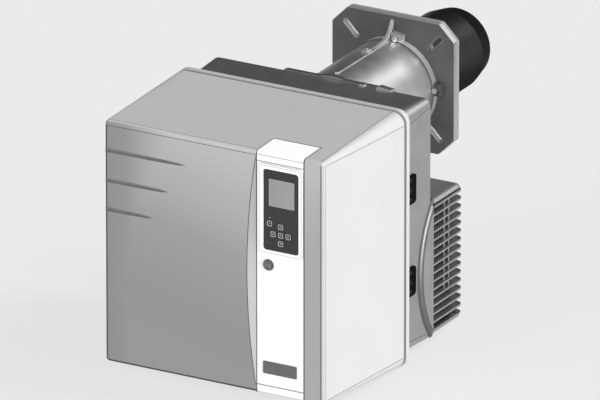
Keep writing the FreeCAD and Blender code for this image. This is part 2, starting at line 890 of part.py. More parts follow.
def make_pump():
    """Adapter ring, coupling with the pump's shaft, gear pump and the solenoid valve on top."""
    adapter = ring(
        adapter_radius, adapter_radius - adapter_wall, y_pump_back, y_motor_front, fan_x, fan_z
    )
    save("pump_adapter", adapter)

    coupling = join([
        rod(coupling_radius, y_coupling_front, y_coupling_back, fan_x, fan_z),
        rod(pump_shaft_radius, y_pump_back - pump_shaft_reach, y_coupling_front, fan_x, fan_z),
    ])
    coupling = coupling.cut(
        rod(shaft_radius + running_fit, y_shaft_front, y_coupling_back, fan_x, fan_z)
    )
    save("pump_coupling", coupling)

    pump_front = y_pump_back - pump_depth
    pump_bottom = fan_z - pump_height / 2
    pump_top = fan_z + pump_height / 2
    body = rounded_block(
        fan_x - pump_width / 2, fan_x + pump_width / 2, pump_front, y_pump_back,
        pump_bottom, pump_top, port_radius,
    )
    cover = rod(pump_cover_radius, pump_front - pump_cover_depth, pump_front, fan_x, fan_z)
    pump = join([body, cover])
    middle = (pump_front + y_pump_back) / 2
    for side in (-0.5, 0.5):
        x = fan_x + side * port_spacing
        low = Vector(x, middle, pump_bottom - port_length)
        union = Part.makeCylinder(port_radius, port_length + port_radius, low)
        pump = pump.fuse(union).cut(Part.makeCylinder(port_bore, port_bore_depth, low))
    pump = pump.cut(rod(
        pump_shaft_radius + running_fit, y_pump_back - pump_shaft_reach - moving_gap,
        y_pump_back, fan_x, fan_z,
    ))
    save("oil_pump", pump.removeSplitter())

    stem = Part.makeCylinder(valve_stem_radius, valve_stem_height, Vector(fan_x, middle, pump_top))
    coil_low = pump_top + valve_stem_height
    coil = box(
        fan_x - coil_width / 2, fan_x + coil_width / 2,
        middle - coil_depth / 2, middle + coil_depth / 2, coil_low, coil_low + coil_height,
    )
    coil = coil.makeFillet(pipe_radius, coil.Edges)
    nut_low = Vector(fan_x, middle, coil_low + coil_height)
    nut = Part.makeCylinder(valve_stem_radius, valve_stem_radius, nut_low)
    save("solenoid_valve", join([stem, coil, nut]))

    outlet_z = coil_low + coil_height / 2
    run_x = -guide_width / 4
    feed_y = y_plate_front - guide_depth / 2
    points = [
        Vector(fan_x + coil_width / 2, middle, outlet_z),
        Vector(run_x + 2 * port_radius, middle, outlet_z),
        Vector(run_x + 2 * port_radius, middle + pump_depth, outlet_z + pipe_rise),
        Vector(0, feed_y - pump_width, -guide_bottom - pump_depth),
        Vector(0, feed_y, -guide_bottom - coil_height),
        Vector(0, feed_y, -guide_bottom),
    ]
    save("oil_pipe", bent_bar(points, pipe_radius))


def electrode_spots():
    """Both electrodes beside the nozzle line, above its middle."""
    return [(-electrode_spread, electrode_rise), (electrode_spread, electrode_rise)]


def make_equipment_plate():
    """Steel plate that closes the housing and carries the equipment, with its screws."""
    plate = rounded_block(
        -housing_left + plate_margin, housing_right - plate_margin,
        y_plate_front, y_housing_front,
        -housing_bottom + plate_margin, housing_top - plate_margin, plate_corner,
    )
    holes = [
        (line_radius + lead_hole_gap, 0.0, 0.0),
        (shaft_radius + 2 * lead_hole_gap, fan_x, fan_z),
        (damper_shaft_radius + moving_gap, partition_middle, damper_z),
        (sensor_tip_radius + close_gap, sensor_right, -sensor_below),
    ]
    holes += [(lead_radius + lead_hole_gap, x, z) for x, z in electrode_spots()]
    holes += [(screw_radius + close_gap, x, z) for x, z in plate_screw_spots()]
    for radius, x, z in holes:
        plate = plate.cut(rod(radius, y_plate_front, y_housing_front, x, z))
    save("equipment_plate", plate)
    screws = [cap_screw(x, z, y_plate_front, screw_length, 1) for x, z in plate_screw_spots()]
    save("plate_screws", Part.makeCompound(screws))


def make_hood_post():
    """Hexagonal post that carries the hood's lock screw."""
    corners = []
    for index in range(post_sides + 1):
        turn = 2 * math.pi * index / post_sides
        corners.append(Vector(
            lock_x + post_radius * math.cos(turn), y_post_front,
            -lock_below + post_radius * math.sin(turn),
        ))
    post = Part.Face(Part.makePolygon(corners)).extrude(Vector(0, y_plate_front - y_post_front, 0))
    bore = rod(
        lock_shank_radius + post_bore_gap, y_post_front, y_post_front + post_bore_depth,
        lock_x, -lock_below,
    )
    save("hood_post", post.cut(bore))


def make_equipment():
    """Ignition transformer, control with its base, flame sensor and damper drive."""
    transformer = rounded_block(
        -transformer_width / 2, transformer_width / 2,
        y_plate_front - transformer_depth, y_plate_front,
        transformer_bottom, transformer_bottom + transformer_height, post_radius / 2,
    )
    for x, z in electrode_spots():
        transformer = transformer.cut(rod(
            lead_radius + moving_gap, y_plate_front - socket_depth, y_plate_front, x, z
        ))
    save("ignition_transformer", transformer)

    base_front = y_plate_front - control_base_depth
    right = -control_left + control_width
    top = -control_bottom + control_height
    base = rounded_block(
        -control_left, right, base_front, y_plate_front, -control_bottom, top, post_radius / 2
    )
    save("control_base", base)
    inset = control_unit_inset
    unit = rounded_block(
        -control_left + inset, right - inset, base_front - control_unit_depth, base_front,
        -control_bottom + inset, top - inset, post_radius / 2,
    )
    save("control_unit", unit)

    x = sensor_right
    z = -sensor_below
    sensor = join([
        rod(sensor_radius, y_plate_front - sensor_length, y_plate_front, x, z),
        rod(sensor_tip_radius, y_plate_front, y_plate_front + sensor_tip_length, x, z),
    ])
    save("flame_sensor", sensor)

    servo = rounded_block(
        partition_middle - servo_width / 2, partition_middle + servo_width / 2,
        y_plate_front - servo_depth, y_plate_front,
        damper_z - servo_height / 2 + servo_offset, damper_z + servo_height / 2 + servo_offset,
        post_radius / 2,
    )
    servo = servo.cut(rod(
        damper_shaft_radius + moving_gap, y_plate_front - servo_bore_depth, y_plate_front,
        partition_middle, damper_z,
    ))
    save("damper_servomotor", servo)


def make_nozzle_line_guide():
    """Brass guide block on the plate, with the bridge that holds the adjusting screw."""
    half = guide_width / 2
    block = box(-half, half, y_guide_front, y_plate_front, -guide_bottom, guide_top)
    legs = [
        box(-half, -half + bridge_leg, y_bridge_back, y_guide_front, -bridge_leg, bridge_leg),
        box(half - bridge_leg, half, y_bridge_back, y_guide_front, -bridge_leg, bridge_leg),
    ]
    cross = box(
        -half, half, y_bridge_front, y_bridge_back, -bridge_half_height, bridge_half_height
    )
    guide = join([block, cross] + legs)
    guide = guide.cut(rod(line_radius + running_fit, y_guide_front, y_plate_front))
    guide = guide.cut(rod(spindle_radius + running_fit, y_bridge_front, y_bridge_back))
    save("nozzle_line_guide", guide)


def make_adjusting_screw():
    """Fluted knob and spindle; the spindle's thread draws the nozzle line along."""
    knob_back = y_bridge_front - moving_gap
    knob_front = knob_back - knob_depth
    knob = rod(knob_radius, knob_front, knob_back)
    for index in range(knob_flutes):
        turn = 2 * math.pi * index / knob_flutes
        x = knob_radius * math.cos(turn)
        z = knob_radius * math.sin(turn)
        knob = knob.cut(rod(knob_flute_radius, knob_front, knob_back, x, z))
    spindle = rod(spindle_radius, knob_back - knob_depth / 2, y_spindle_back)
    stop_front = y_bridge_back + moving_gap
    stop = rod(stop_radius, stop_front, stop_front + stop_depth)
    save("adjusting_screw", join([knob, spindle, stop]))


def make_nozzle_line():
    """Oil-carrying nozzle line with its holder, nozzle, air diffuser, electrodes and leads."""
    pipe = rod(line_radius, y_line_front, line_reach)
    pipe = pipe.cut(rod(
        spindle_radius + running_fit, y_line_front, y_line_front + spindle_bore_depth
    ))
    save("nozzle_pipe", pipe)

    holder_back = line_reach + holder_length
    save("nozzle_holder", rod(holder_radius, line_reach, holder_back))
    tip_length = nozzle_length / 3
    nozzle = join([
        rod(nozzle_radius, holder_back, holder_back + nozzle_length - tip_length),
        cone(
            nozzle_radius, nozzle_radius / 2,
            holder_back + nozzle_length - tip_length, holder_back + nozzle_length,
        ),
    ])
    save("nozzle", nozzle)

    disc_low = holder_back + nozzle_length - tip_length
    disc_high = disc_low + diffuser_thickness
    sleeve_inner = holder_radius + running_fit
    disc = join([
        rod(diffuser_radius, disc_low, disc_high),
        rod(sleeve_inner + sleeve_wall, holder_back - holder_length / 2, disc_low),
    ])
    disc = disc.cut(rod(sleeve_inner, holder_back - holder_length / 2, disc_high))
    for index in range(diffuser_slots):
        slot = box(
            diffuser_slot_inner, diffuser_slot_outer, disc_low, disc_high,
            -diffuser_slot_width / 2, diffuser_slot_width / 2,
        )
        disc = disc.cut(around_axis(slot, 360.0 * index / diffuser_slots))
    for x, z in electrode_spots():
        hole = electrode_wire_radius + electrode_hole_gap
        disc = disc.cut(rod(hole, disc_low, disc_high, x, z))
    save("diffuser_plate", disc)

    insulator_front = insulator_reach - insulator_length
    electrodes = []
    leads = []
    for x, z in electrode_spots():
        insulator = rod(insulator_radius, insulator_front, insulator_reach, x, z)
        wire = bent_bar([
            Vector(x, insulator_reach - insulator_radius, z),
            Vector(x, disc_high + nozzle_radius, z),
            Vector(
                math.copysign(spark_half_gap, x),
                disc_high + nozzle_radius + insulator_radius, spark_rise,
            ),
        ], electrode_wire_radius)
        electrodes.append(insulator.fuse(wire).removeSplitter())
        leads.append(rod(lead_radius, y_plate_front - socket_depth / 2, insulator_front, x, z))
    save("ignition_electrodes", Part.makeCompound(electrodes))
    save("ignition_leads", Part.makeCompound(leads))

    clamp = rounded_block(
        -clamp_half_width, clamp_half_width, clamp_reach - clamp_thickness, clamp_reach,
        -line_radius - bridge_leg, electrode_rise + clamp_top_gap, bridge_leg / 2,
    )
    clamp = clamp.cut(rod(line_radius + running_fit, clamp_reach - clamp_thickness, clamp_reach))
    for x, z in electrode_spots():
        clamp = clamp.cut(rod(
            insulator_radius + running_fit, clamp_reach - clamp_thickness, clamp_reach, x, z
        ))
    save("electrode_clamp", clamp)


def air_box_block(inset):
    """The air box's rounded form with its rounded back edge."""
    wires = []
    sections = [(y_housing_back, 0.0)]
    for depth, edge_inset in edge_steps(air_box_back_edge - inset):
        sections.append((y_air_box_back - inset - depth, edge_inset))
    for y, edge_inset in sections:
        total = inset + edge_inset
        top = air_box_top_radius + inset / 2 - edge_inset
        bottom = air_box_bottom_radius - edge_inset
        left = air_box_top_radius + inset / 2 - edge_inset
        wires.append(rounded_outline(
            -air_box_left + total, air_box_right - total,
            -air_box_bottom + total, -air_box_top - total, y, (left, bottom, top, left),
        ))
    return Part.makeLoft(wires, True, True)


def make_air_box():
    """Air box behind the housing and the louvred cover over its right-hand end."""
    shell = air_box_block(0.0).cut(air_box_block(air_box_wall))
    left_half = box(
        -air_box_left, cover_seam, y_housing_back, y_air_box_back, -air_box_bottom, -air_box_top
    )
    right_half = box(
        cover_seam, air_box_right, y_housing_back, y_air_box_back, -air_box_bottom, -air_box_top
    )
    inner_back = y_air_box_back - air_box_wall
    bearing_front = inner_back - damper_bearing_length
    partition = air_box_block(air_box_wall / 2).common(box(
        cover_seam - partition_thickness, cover_seam, y_housing_back, y_air_box_back,
        -air_box_bottom, -air_box_top,
    ))
    window = box(
        cover_seam - partition_thickness, cover_seam,
        y_housing_back + damper_gap, bearing_front - damper_gap,
        damper_z - damper_half_height - damper_gap, damper_z + damper_half_height + damper_gap,
    )
    bearing = rod(damper_bearing_radius, bearing_front, inner_back, partition_middle, damper_z)
    body = join([shell.common(left_half), partition.cut(window), bearing])
    shaft_bore = rod(
        damper_shaft_radius + running_fit, bearing_front, inner_back, partition_middle, damper_z
    )
    shaft_way = rod(
        damper_shaft_radius + moving_gap, y_housing_back, bearing_front, partition_middle, damper_z
    )
    save("air_box", body.cut(shaft_bore).cut(shaft_way))

    cover = shell.common(right_half)
    cheek_top = -air_box_top - cheek_top_margin
    cheek_bottom = -air_box_bottom + cheek_bottom_margin
    half_chord = (cheek_top - cheek_bottom) / 2
    arc_radius = (half_chord ** 2 + cheek_depth ** 2) / (2 * cheek_depth)
    arc_middle = Vector(0, y_housing_back - cheek_depth + arc_radius, (cheek_top + cheek_bottom) / 2)
    outer_radius = arc_radius - cheek_edge_width
    edge_rise = air_box_right - housing_right
    edge = Part.Arc(
        Vector(housing_right, arc_radius, 0),
        Vector(
            housing_right + edge_rise * math.sin(math.pi / 4),
            outer_radius + cheek_edge_width * math.cos(math.pi / 4), 0,
        ),
        Vector(air_box_right, outer_radius, 0),
    ).toShape()
    outline = Part.Wire([
        edge,
        Part.makeLine(Vector(air_box_right, outer_radius, 0), Vector(air_box_right, 0, 0)),
        Part.makeLine(Vector(air_box_right, 0, 0), Vector(housing_right, 0, 0)),
        Part.makeLine(Vector(housing_right, 0, 0), Vector(housing_right, arc_radius, 0)),
    ])
    cheek = Part.Face(outline).revolve(Vector(0, 0, 0), Vector(1, 0, 0), 360.0)
    cheek.translate(arc_middle)
    cheek = cheek.common(box(
        housing_right, air_box_right, y_housing_back - cheek_depth, y_housing_back,
        cheek_bottom, cheek_top,
    ))
    slat_tops = [
        -air_box_top - slat_top_margin - index * slat_pitch for index in range(slat_count + 1)
    ]
    side_front = y_housing_back + slat_front_margin
    window_side = box(
        air_box_right - slat_depth, air_box_right, side_front, y_air_box_back,
        slat_tops[-1], slat_tops[0] + slat_top_gap,
    )
    window_back = box(
        air_box_right - slat_wrap, air_box_right, y_air_box_back - slat_depth, y_air_box_back,
        slat_tops[-1], slat_tops[0] + slat_top_gap,
    )
    cover = cover.cut(window_side).cut(window_back)
    slat_plan = box(
        air_box_right - slat_depth, air_box_right, y_housing_back, y_air_box_back,
        -air_box_bottom, -air_box_top,
    ).cut(box(
        air_box_right - slat_depth, air_box_right - slat_wrap,
        y_air_box_back - slat_depth, y_air_box_back, -air_box_bottom, -air_box_top,
    )).common(air_box_block(0.0))
    pieces = [cover, cheek]
    for top in slat_tops[:-1]:
        pieces.append(slat_plan.common(box(
            cover_seam, air_box_right, y_housing_back, y_air_box_back, top - slat_thickness, top
        )))
    pieces.append(slat_plan.common(box(
        air_box_right - slat_depth, air_box_right - air_box_wall, y_housing_back, side_front,
        slat_tops[-1] - slat_thickness, slat_tops[0] + slat_top_gap,
    )))
    pieces.append(box(
        air_box_right - slat_wrap - air_box_wall, air_box_right - slat_wrap,
        y_air_box_back - slat_depth, y_air_box_back - air_box_wall / 2,
        slat_tops[-1] - slat_thickness, slat_tops[0] + slat_top_gap,
    ))
    for place in slat_rib_places:
        pieces.append(box(
            air_box_right - slat_depth, air_box_right - slat_rib_inset,
            y_housing_back + place, y_housing_back + place + slat_rib_width,
            slat_tops[slat_ribbed_count] - slat_thickness / 2, slat_tops[0] - slat_thickness / 2,
        ))
    cover = join(pieces)
    save("louvre_cover", cover)


def make_damper():
    """Air damper flap on its long shaft, which the servomotor turns through the housing."""
    inner_back = y_air_box_back - air_box_wall
    bearing_front = inner_back - damper_bearing_length
    shaft = rod(
        damper_shaft_radius, y_plate_front - servo_bore_depth + moving_gap,
        inner_back - moving_gap, partition_middle, damper_z,
    )
    flap = box(
        partition_middle - damper_thickness / 2, partition_middle + damper_thickness / 2,
        y_housing_back + 2 * damper_gap, bearing_front - 2 * damper_gap,
        damper_z - damper_half_height, damper_z + damper_half_height,
    )
    save("damper_flap", join([shaft, flap]))


def make_grommets():
    """Two rubber cable grommets in the notches of the housing's right wall."""
    grommets = []
    plug_back = y_hood_back + grommet_length - grommet_lap
    for top in grommet_spots():
        bottom = top - grommet_height
        plug = box(
            housing_right - housing_wall, housing_right,
            y_housing_front, plug_back,
            bottom + grommet_lap, top - grommet_lap,
        )
        outline = rounded_outline(
            y_hood_back, y_hood_back + grommet_length, bottom, top, 0.0, (grommet_corner,) * 4
        )
        lip = Part.Face(outline).extrude(Vector(0, grommet_proud, 0))
        lip.rotate(Vector(0, 0, 0), Vector(0, 0, 1), 90.0)
        lip.translate(Vector(housing_right + grommet_proud, 0, 0))
        pieces = [plug, lip]
        for index in range(grommet_bumps):
            z = bottom + (index + 0.5) * grommet_height / grommet_bumps
            y = y_hood_back + grommet_length / 2
            foot = Vector(housing_right + grommet_proud, y, z)
            pieces.append(Part.makeCone(
                grommet_bump_radius, grommet_bump_radius / 2, grommet_bump_height,
                foot, Vector(1, 0, 0),
            ))
        grommets.append(join(pieces))
    save("cable_grommets", Part.makeCompound(grommets))


def hood_outline(y, inset):
    """The hood's cross-section at y: every side runs straight from the rim to the front."""
    part = (y_hood_back - y) / hood_depth
    left = hood_back_left + part * (hood_front_left - hood_back_left)
    right = hood_back_right + part * (hood_front_right - hood_back_right)
    top = hood_back_top + part * (hood_front_top - hood_back_top)
    bottom = hood_back_bottom + part * (hood_front_bottom - hood_back_bottom)
    corner = hood_back_corner + part * (hood_front_corner - hood_back_corner)
    radius = max(corner - inset, hood_skin / 2)
    return rounded_outline(
        -left + inset, right - inset, -bottom + inset, top - inset, y, (radius,) * 4
    )


def hood_block(inset, y_back, y_front, front_edge):
    """A solid of the hood's form, drawn in by inset all round, with a rounded front edge."""
    sections = [(y_back, 0.0)]
    if front_edge > 0:
        for depth, edge_inset in edge_steps(front_edge):
            sections.append((y_front + depth, edge_inset))
    else:
        sections.append((y_front, 0.0))
    wires = [hood_outline(y, inset + edge_inset) for y, edge_inset in sections]
    return Part.makeLoft(wires, True, True)


def front_region(x_low, x_high, z_low, z_high, depth):
    """A block that cuts a piece out of the hood's front skin."""
    return box(x_low, x_high, y_hood_front, y_hood_front + depth, z_low, z_high)


def panel_region():
    """The part of the front left of the column, bounded by the long arc."""
    top = hood_back_top
    bottom = -hood_back_bottom
    far_left = -hood_back_left
    middle = Vector(column_left - panel_bulge, y_hood_front, -housing_top - column_cap_depth)
    upper = Vector(column_left, y_hood_front, hood_front_top)
    lower = Vector(column_left, y_hood_front, -hood_front_bottom)
    arc = Part.Arc(lower, middle, upper).toShape()
    corners = [
        upper, Vector(column_left, y_hood_front, top), Vector(far_left, y_hood_front, top),
        Vector(far_left, y_hood_front, bottom), Vector(column_left, y_hood_front, bottom), lower,
    ]
    edges = [arc] + [Part.makeLine(a, b) for a, b in zip(corners, corners[1:])]
    return Part.Face(Part.Wire(edges)).extrude(Vector(0, hood_skin, 0))


def bezel_opening(gap):
    """The hole in the hood's front for the display's body."""
    lap = bezel_lap - gap
    return rounded_block(
        bezel_left + lap, bezel_right - lap, y_hood_front, y_hood_inner,
        -bezel_bottom + lap, bezel_top - lap, bezel_corner - bezel_lap,
    )


def lock_opening():
    """The hole in the hood's front for the lock screw's shank."""
    return rod(lock_shank_radius + moving_gap, y_hood_front, y_hood_inner, lock_x, -lock_below)


def make_hood():
    """Moulded hood, its front skin pieces and the foam ring that silences it."""
    envelope = hood_block(0.0, y_hood_back, y_hood_front, hood_front_edge)
    core = hood_block(hood_skin, y_hood_back, y_skin_back, hood_front_edge - hood_skin)
    hollow = hood_block(hood_wall, y_hood_back, y_hood_inner, 0.0)
    skin = envelope.cut(core)
    shell = envelope.cut(hollow)

    rim_front = y_hood_back - rim_depth
    groove_front = rim_front - rim_groove_width
    groove = hood_block(0.0, rim_front, groove_front, 0.0)
    groove = groove.cut(hood_block(rim_groove_depth, rim_front, groove_front, 0.0))
    shell = shell.cut(groove)

    panel_cut = panel_region()
    cap_back = y_hood_front + column_cap_depth
    column_cut = box(
        column_left, column_right, y_hood_front, cap_back, -hood_back_bottom, hood_back_top
    )
    column_skin = skin.common(column_cut)
    front_slab = front_region(
        -hood_back_left, hood_back_right, -hood_back_bottom, hood_back_top, hood_skin
    )
    panel = skin.common(panel_cut).common(front_slab)
    top_part = box(
        column_left, column_right, y_hood_front, cap_back, column_joint_top, hood_back_top
    )
    fascia_part = front_region(
        column_left, column_right, -column_joint_bottom, column_joint_top, hood_skin
    )
    bottom_part = front_region(
        column_left, column_right, -hood_back_bottom, -column_joint_bottom, hood_skin
    )
    top_cap = column_skin.common(top_part)
    bottom_cap = column_skin.common(bottom_part)
    fascia = column_skin.common(fascia_part)
    for piece in (panel, top_cap, bottom_cap, fascia):
        shell = shell.cut(piece)

    fascia = fascia.cut(bezel_opening(close_gap)).cut(lock_opening())
    shell = shell.cut(bezel_opening(close_gap)).cut(lock_opening())
    for level, length in zip(groove_levels, groove_lengths):
        panel = panel.cut(panel_groove(level, length))
    save("hood_shell", shell)
    save("front_panel", panel)
    save("column_fascia", fascia)
    save("column_end_caps", Part.makeCompound([top_cap, bottom_cap]))

    foam_back = y_hood_back - foam_back_gap
    foam_front = y_hood_front + foam_front_gap
    foam = hood_block(hood_wall + close_gap, foam_back, foam_front, 0.0)
    foam = foam.cut(hood_block(hood_wall + foam_thickness, foam_back, foam_front, 0.0))
    save("hood_foam", foam)


def panel_groove(level, length):
    """A shallow groove from the left edge that narrows to a point."""
    start = -hood_front_left
    half = groove_width / 2
    points = [
        Vector(start, y_hood_front, level - half),
        Vector(start + length, y_hood_front, level),
        Vector(start, y_hood_front, level + half),
    ]
    face = Part.Face(Part.makePolygon(points + points[:1]))
    return face.extrude(Vector(0, groove_depth, 0))


def make_hood_seal():
    """Rubber seal round the housing's front edge, on which the hood slides home."""
    back = y_hood_back - hood_skin / 2
    front = y_housing_front + hood_skin / 2
    seal = hood_block(hood_wall + seal_gap, back, front, 0.0)
    save("hood_seal", seal.cut(housing_block(0.0, y_housing_back, y_housing_front)))


def key_places():
    """Node name and middle of every key."""
    x = key_cross_x
    z = -key_cross_below
    return [
        ("key_mode", mode_key_x, -mode_key_below),
        ("key_up", x, z + key_pitch_up),
        ("key_down", x, z - key_pitch_up),
        ("key_left", x - key_pitch_across, z),
        ("key_right", x + key_pitch_across, z),
        ("key_ok", x, z),
    ]


def key_block(x, z, y_front, y_back, gap):
    """A rounded square block in line with a key."""
    half = key_side / 2 + gap
    return rounded_block(x - half, x + half, y_front, y_back, z - half, z + half, key_corner + gap)


def make_display():
    """Bezel, dark key panel, glass, status lamp, circuit board and six keys."""
    flange = rounded_block(
        bezel_left, bezel_right, y_hood_front - bezel_proud, y_hood_front,
        -bezel_bottom, bezel_top, bezel_corner,
    )
    body = rounded_block(
        bezel_left + bezel_lap, bezel_right - bezel_lap, y_hood_front, y_bezel_back,
        -bezel_bottom + bezel_lap, bezel_top - bezel_lap, bezel_corner - bezel_lap,
    )
    window = rounded_block(
        panel_left, panel_right, y_hood_front - bezel_proud, y_bezel_back,
        -panel_bottom, panel_top, bezel_corner - bezel_lap,
    )
    save("display_bezel", join([flange, body]).cut(window))

    panel = rounded_block(
        panel_left, panel_right, y_panel_front, y_panel_back,
        -panel_bottom, panel_top, bezel_corner - bezel_lap,
    )
    glass = rounded_block(
        lcd_left, lcd_left + lcd_side, y_panel_front, y_panel_back,
        -lcd_bottom, -lcd_bottom + lcd_side, key_corner,
    )
    panel = panel.cut(glass)
    lamp_hole = rod(led_radius + close_gap, y_panel_front, y_panel_back, led_x, -led_below)
    panel = panel.cut(lamp_hole)
    for name, x, z in key_places():
        panel = panel.cut(key_block(x, z, y_panel_front, y_panel_back, moving_gap))
        key_front = y_panel_front - key_proud
        save(name, key_block(x, z, key_front, key_front + key_depth, 0.0))
    save("display_panel", panel)
    save("lcd_window", glass)

    lamp_front = y_panel_front - led_radius
    save("status_led", rod(led_radius, lamp_front, y_panel_back, led_x, -led_below))
    board = rounded_block(
        panel_left, panel_right, y_board_front, y_bezel_back,
        -panel_bottom, panel_top, bezel_corner - bezel_lap,
    )
    save("display_board", board)


def make_lock_screw():
    """Captive slotted screw that holds the hood to its post."""
    head_back = y_hood_front - moving_gap
    head_front = head_back - lock_head_height
    head = rod(lock_head_radius, head_front, head_back, lock_x, -lock_below)
    slot = box(
        lock_x - lock_head_radius, lock_x + lock_head_radius,
        head_front, head_front + lock_slot_depth,
        -lock_below - lock_slot_width / 2, -lock_below + lock_slot_width / 2,
    )
    shank = rod(
        lock_shank_radius, head_back, y_post_front + lock_engagement, lock_x, -lock_below
    )
    save("hood_lock_screw", join([head, shank]).cut(slot))


def make_name_plate():
    """Blank plate at the foot of the column."""
    save("name_plate", rounded_block(
        plate_left, plate_right, y_hood_front - name_plate_thickness, y_hood_front,
        -plate_bottom, -plate_top, name_plate_corner,
    ))


os.makedirs("parts", exist_ok=True)
make_flange()
make_neck()
make_case_screws()
make_blast_tube()
make_housing()
make_inlet_cone()
make_fan_wheel()
make_motor()
make_pump()
make_equipment_plate()
make_hood_post()
make_equipment()
make_nozzle_line_guide()
make_adjusting_screw()
make_nozzle_line()
make_air_box()
make_damper()
make_grommets()
make_hood()
make_hood_seal()
make_display()
make_lock_screw()
make_name_plate()
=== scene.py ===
import math

import bmesh
import bpy
import numpy as np
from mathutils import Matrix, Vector


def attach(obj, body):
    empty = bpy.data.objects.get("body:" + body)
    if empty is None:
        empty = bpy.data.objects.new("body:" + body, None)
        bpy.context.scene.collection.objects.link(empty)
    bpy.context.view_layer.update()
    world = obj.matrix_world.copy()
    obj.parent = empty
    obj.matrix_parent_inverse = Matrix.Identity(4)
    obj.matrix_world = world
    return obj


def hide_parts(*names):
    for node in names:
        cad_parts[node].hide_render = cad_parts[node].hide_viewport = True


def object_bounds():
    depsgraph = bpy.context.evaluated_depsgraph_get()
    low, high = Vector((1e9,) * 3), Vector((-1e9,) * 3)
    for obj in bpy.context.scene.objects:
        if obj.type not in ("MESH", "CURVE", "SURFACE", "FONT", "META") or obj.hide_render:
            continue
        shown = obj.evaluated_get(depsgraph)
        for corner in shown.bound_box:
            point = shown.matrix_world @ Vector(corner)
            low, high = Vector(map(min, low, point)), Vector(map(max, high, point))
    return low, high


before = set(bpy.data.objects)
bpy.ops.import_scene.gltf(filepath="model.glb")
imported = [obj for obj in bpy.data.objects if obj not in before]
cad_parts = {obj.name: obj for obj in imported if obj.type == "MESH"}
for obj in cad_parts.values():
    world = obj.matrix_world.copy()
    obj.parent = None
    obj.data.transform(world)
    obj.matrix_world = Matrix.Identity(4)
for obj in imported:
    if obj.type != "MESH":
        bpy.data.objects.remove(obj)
cad_low, cad_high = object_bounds()

# The studio: a pale floor that glows a little, so that hardly a shadow shows, and an even pale
# surround that is darker behind on the left. The main light is soft and comes from the right and
# above, with one behind it, one low from the right and a fill from the front.
scene = bpy.context.scene
scene.view_settings.view_transform = "Standard"
scene.view_settings.look = "None"


class Socket:
    """A shader socket: +, -, *, <, > and abs on it add Math nodes to its sheet."""

    def __init__(self, sheet, socket):
        self.sheet = sheet
        self.socket = socket

    def math(self, operation, *terms):
        """A Math node that works the operation out on the terms."""
        return self.sheet.node("ShaderNodeMath", {"operation": operation}, dict(enumerate(terms)))

    def __add__(self, other):
        return self.math("ADD", self, other)

    def __sub__(self, other):
        return self.math("SUBTRACT", self, other)

    def __rsub__(self, other):
        return self.math("SUBTRACT", other, self)

    def __mul__(self, other):
        return self.math("MULTIPLY", self, other)

    def __gt__(self, other):
        return self.math("GREATER_THAN", self, other)

    def __lt__(self, other):
        return self.math("LESS_THAN", self, other)

    def __abs__(self):
        return self.math("ABSOLUTE", self)

    __radd__ = __add__
    __rmul__ = __mul__

    def least(self, other):
        """The smaller of the two values."""
        return self.math("MINIMUM", self, other)

    def most(self, other):
        """The larger of the two values."""
        return self.math("MAXIMUM", self, other)


class Nodes:
    """A node tree with one method that adds a node of any kind."""

    def __init__(self, tree):
        self.tree = tree

    def plug(self, socket, value):
        """Link a Socket to socket, or set it; one number fills the channels of a colour."""
        if isinstance(value, Socket):
            self.tree.links.new(value.socket, socket)
        elif hasattr(socket.default_value, "__len__") and not hasattr(value, "__len__"):
            size = len(socket.default_value)
            socket.default_value = (value,) * min(size, 3) + (1.0,) * (size - 3)
        else:
            socket.default_value = value

    def node(self, kind, settings=None, sockets=None, out=0):
        """A node of a kind: its settings first, then its sockets' values or links."""
        made = self.tree.nodes.new(kind)
        for name, value in (settings or {}).items():
            if name == "stops":
                ramp = made.color_ramp.elements
                while len(ramp) < len(value):
                    ramp.new(1.0)
                for element, (place, tone) in zip(ramp, value):
                    element.position = place
                    element.color = (tone, tone, tone, 1.0)
            else:
                setattr(made, name, value)
        for name, value in (sockets or {}).items():
            self.plug(made.inputs[name], value)
        return Socket(self, made.outputs[out])

    def ramp(self, value, *stops):
        """A tone that runs straight between stops, each a value from 0 to 1 and its tone."""
        return self.node("ShaderNodeValToRGB", {"stops": stops}, {0: value})


class Sheet(Nodes):
    """One material's nodes, with its Principled shader."""

    def __init__(self, name, **values):
        self.material = bpy.data.materials.new(name)
        self.material.use_nodes = True
        super().__init__(self.material.node_tree)
        self.shader = self.tree.nodes["Principled BSDF"]
        self.set(**values)

    def set(self, **values):
        """Principled sockets by name, with underscores for blanks."""
        for name, value in values.items():
            self.plug(self.shader.inputs[name.replace("_", " ")], value)

    def place(self):
        """Object coordinates."""
        return self.node("ShaderNodeTexCoord", out=3)

    def axes(self):
        """The three object coordinates by themselves, in metres."""
        split = self.node("ShaderNodeSeparateXYZ", None, {0: self.place()}).socket.node
        return [Socket(self, output) for output in split.outputs]

    def noise(self, size, detail=2.0, stretch=(1.0, 1.0, 1.0)):
        """Noise with features of about size metres, drawn out by stretch."""
        mapped = self.node("ShaderNodeMapping", None, {
            0: self.place(), "Scale": [1 / (size * s) for s in stretch],
        })
        return self.node("ShaderNodeTexNoise", None, {
            "Vector": mapped, "Scale": 1.0, "Detail": detail,
        })

    def patches(self, low, high, size, detail=2.0, stretch=(1.0, 1.0, 1.0)):
        """A value from low to high that varies in patches: noise of that size through a ramp."""
        return self.ramp(self.noise(size, detail, stretch), (0.3, low), (0.7, high))

    def bump(self, height, distance, strength):
        """Bump of height times distance metres on the shader's normal."""
        self.set(Normal=self.node("ShaderNodeBump", None, {
            "Height": height, "Distance": distance, "Strength": strength,
        }))

    def grain(self, size, strength, distance=0.0001, detail=3.0):
        """A fine grain: bump on noise with features of about size metres."""
        self.bump(self.noise(size, detail), distance, strength)

    def dress(self, *nodes):
        """Give CAD nodes this material."""
        for name in nodes:
            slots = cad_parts[name].data.materials
            for index in range(len(slots)):
                slots[index] = self.material
            if not slots:
                slots.append(self.material)


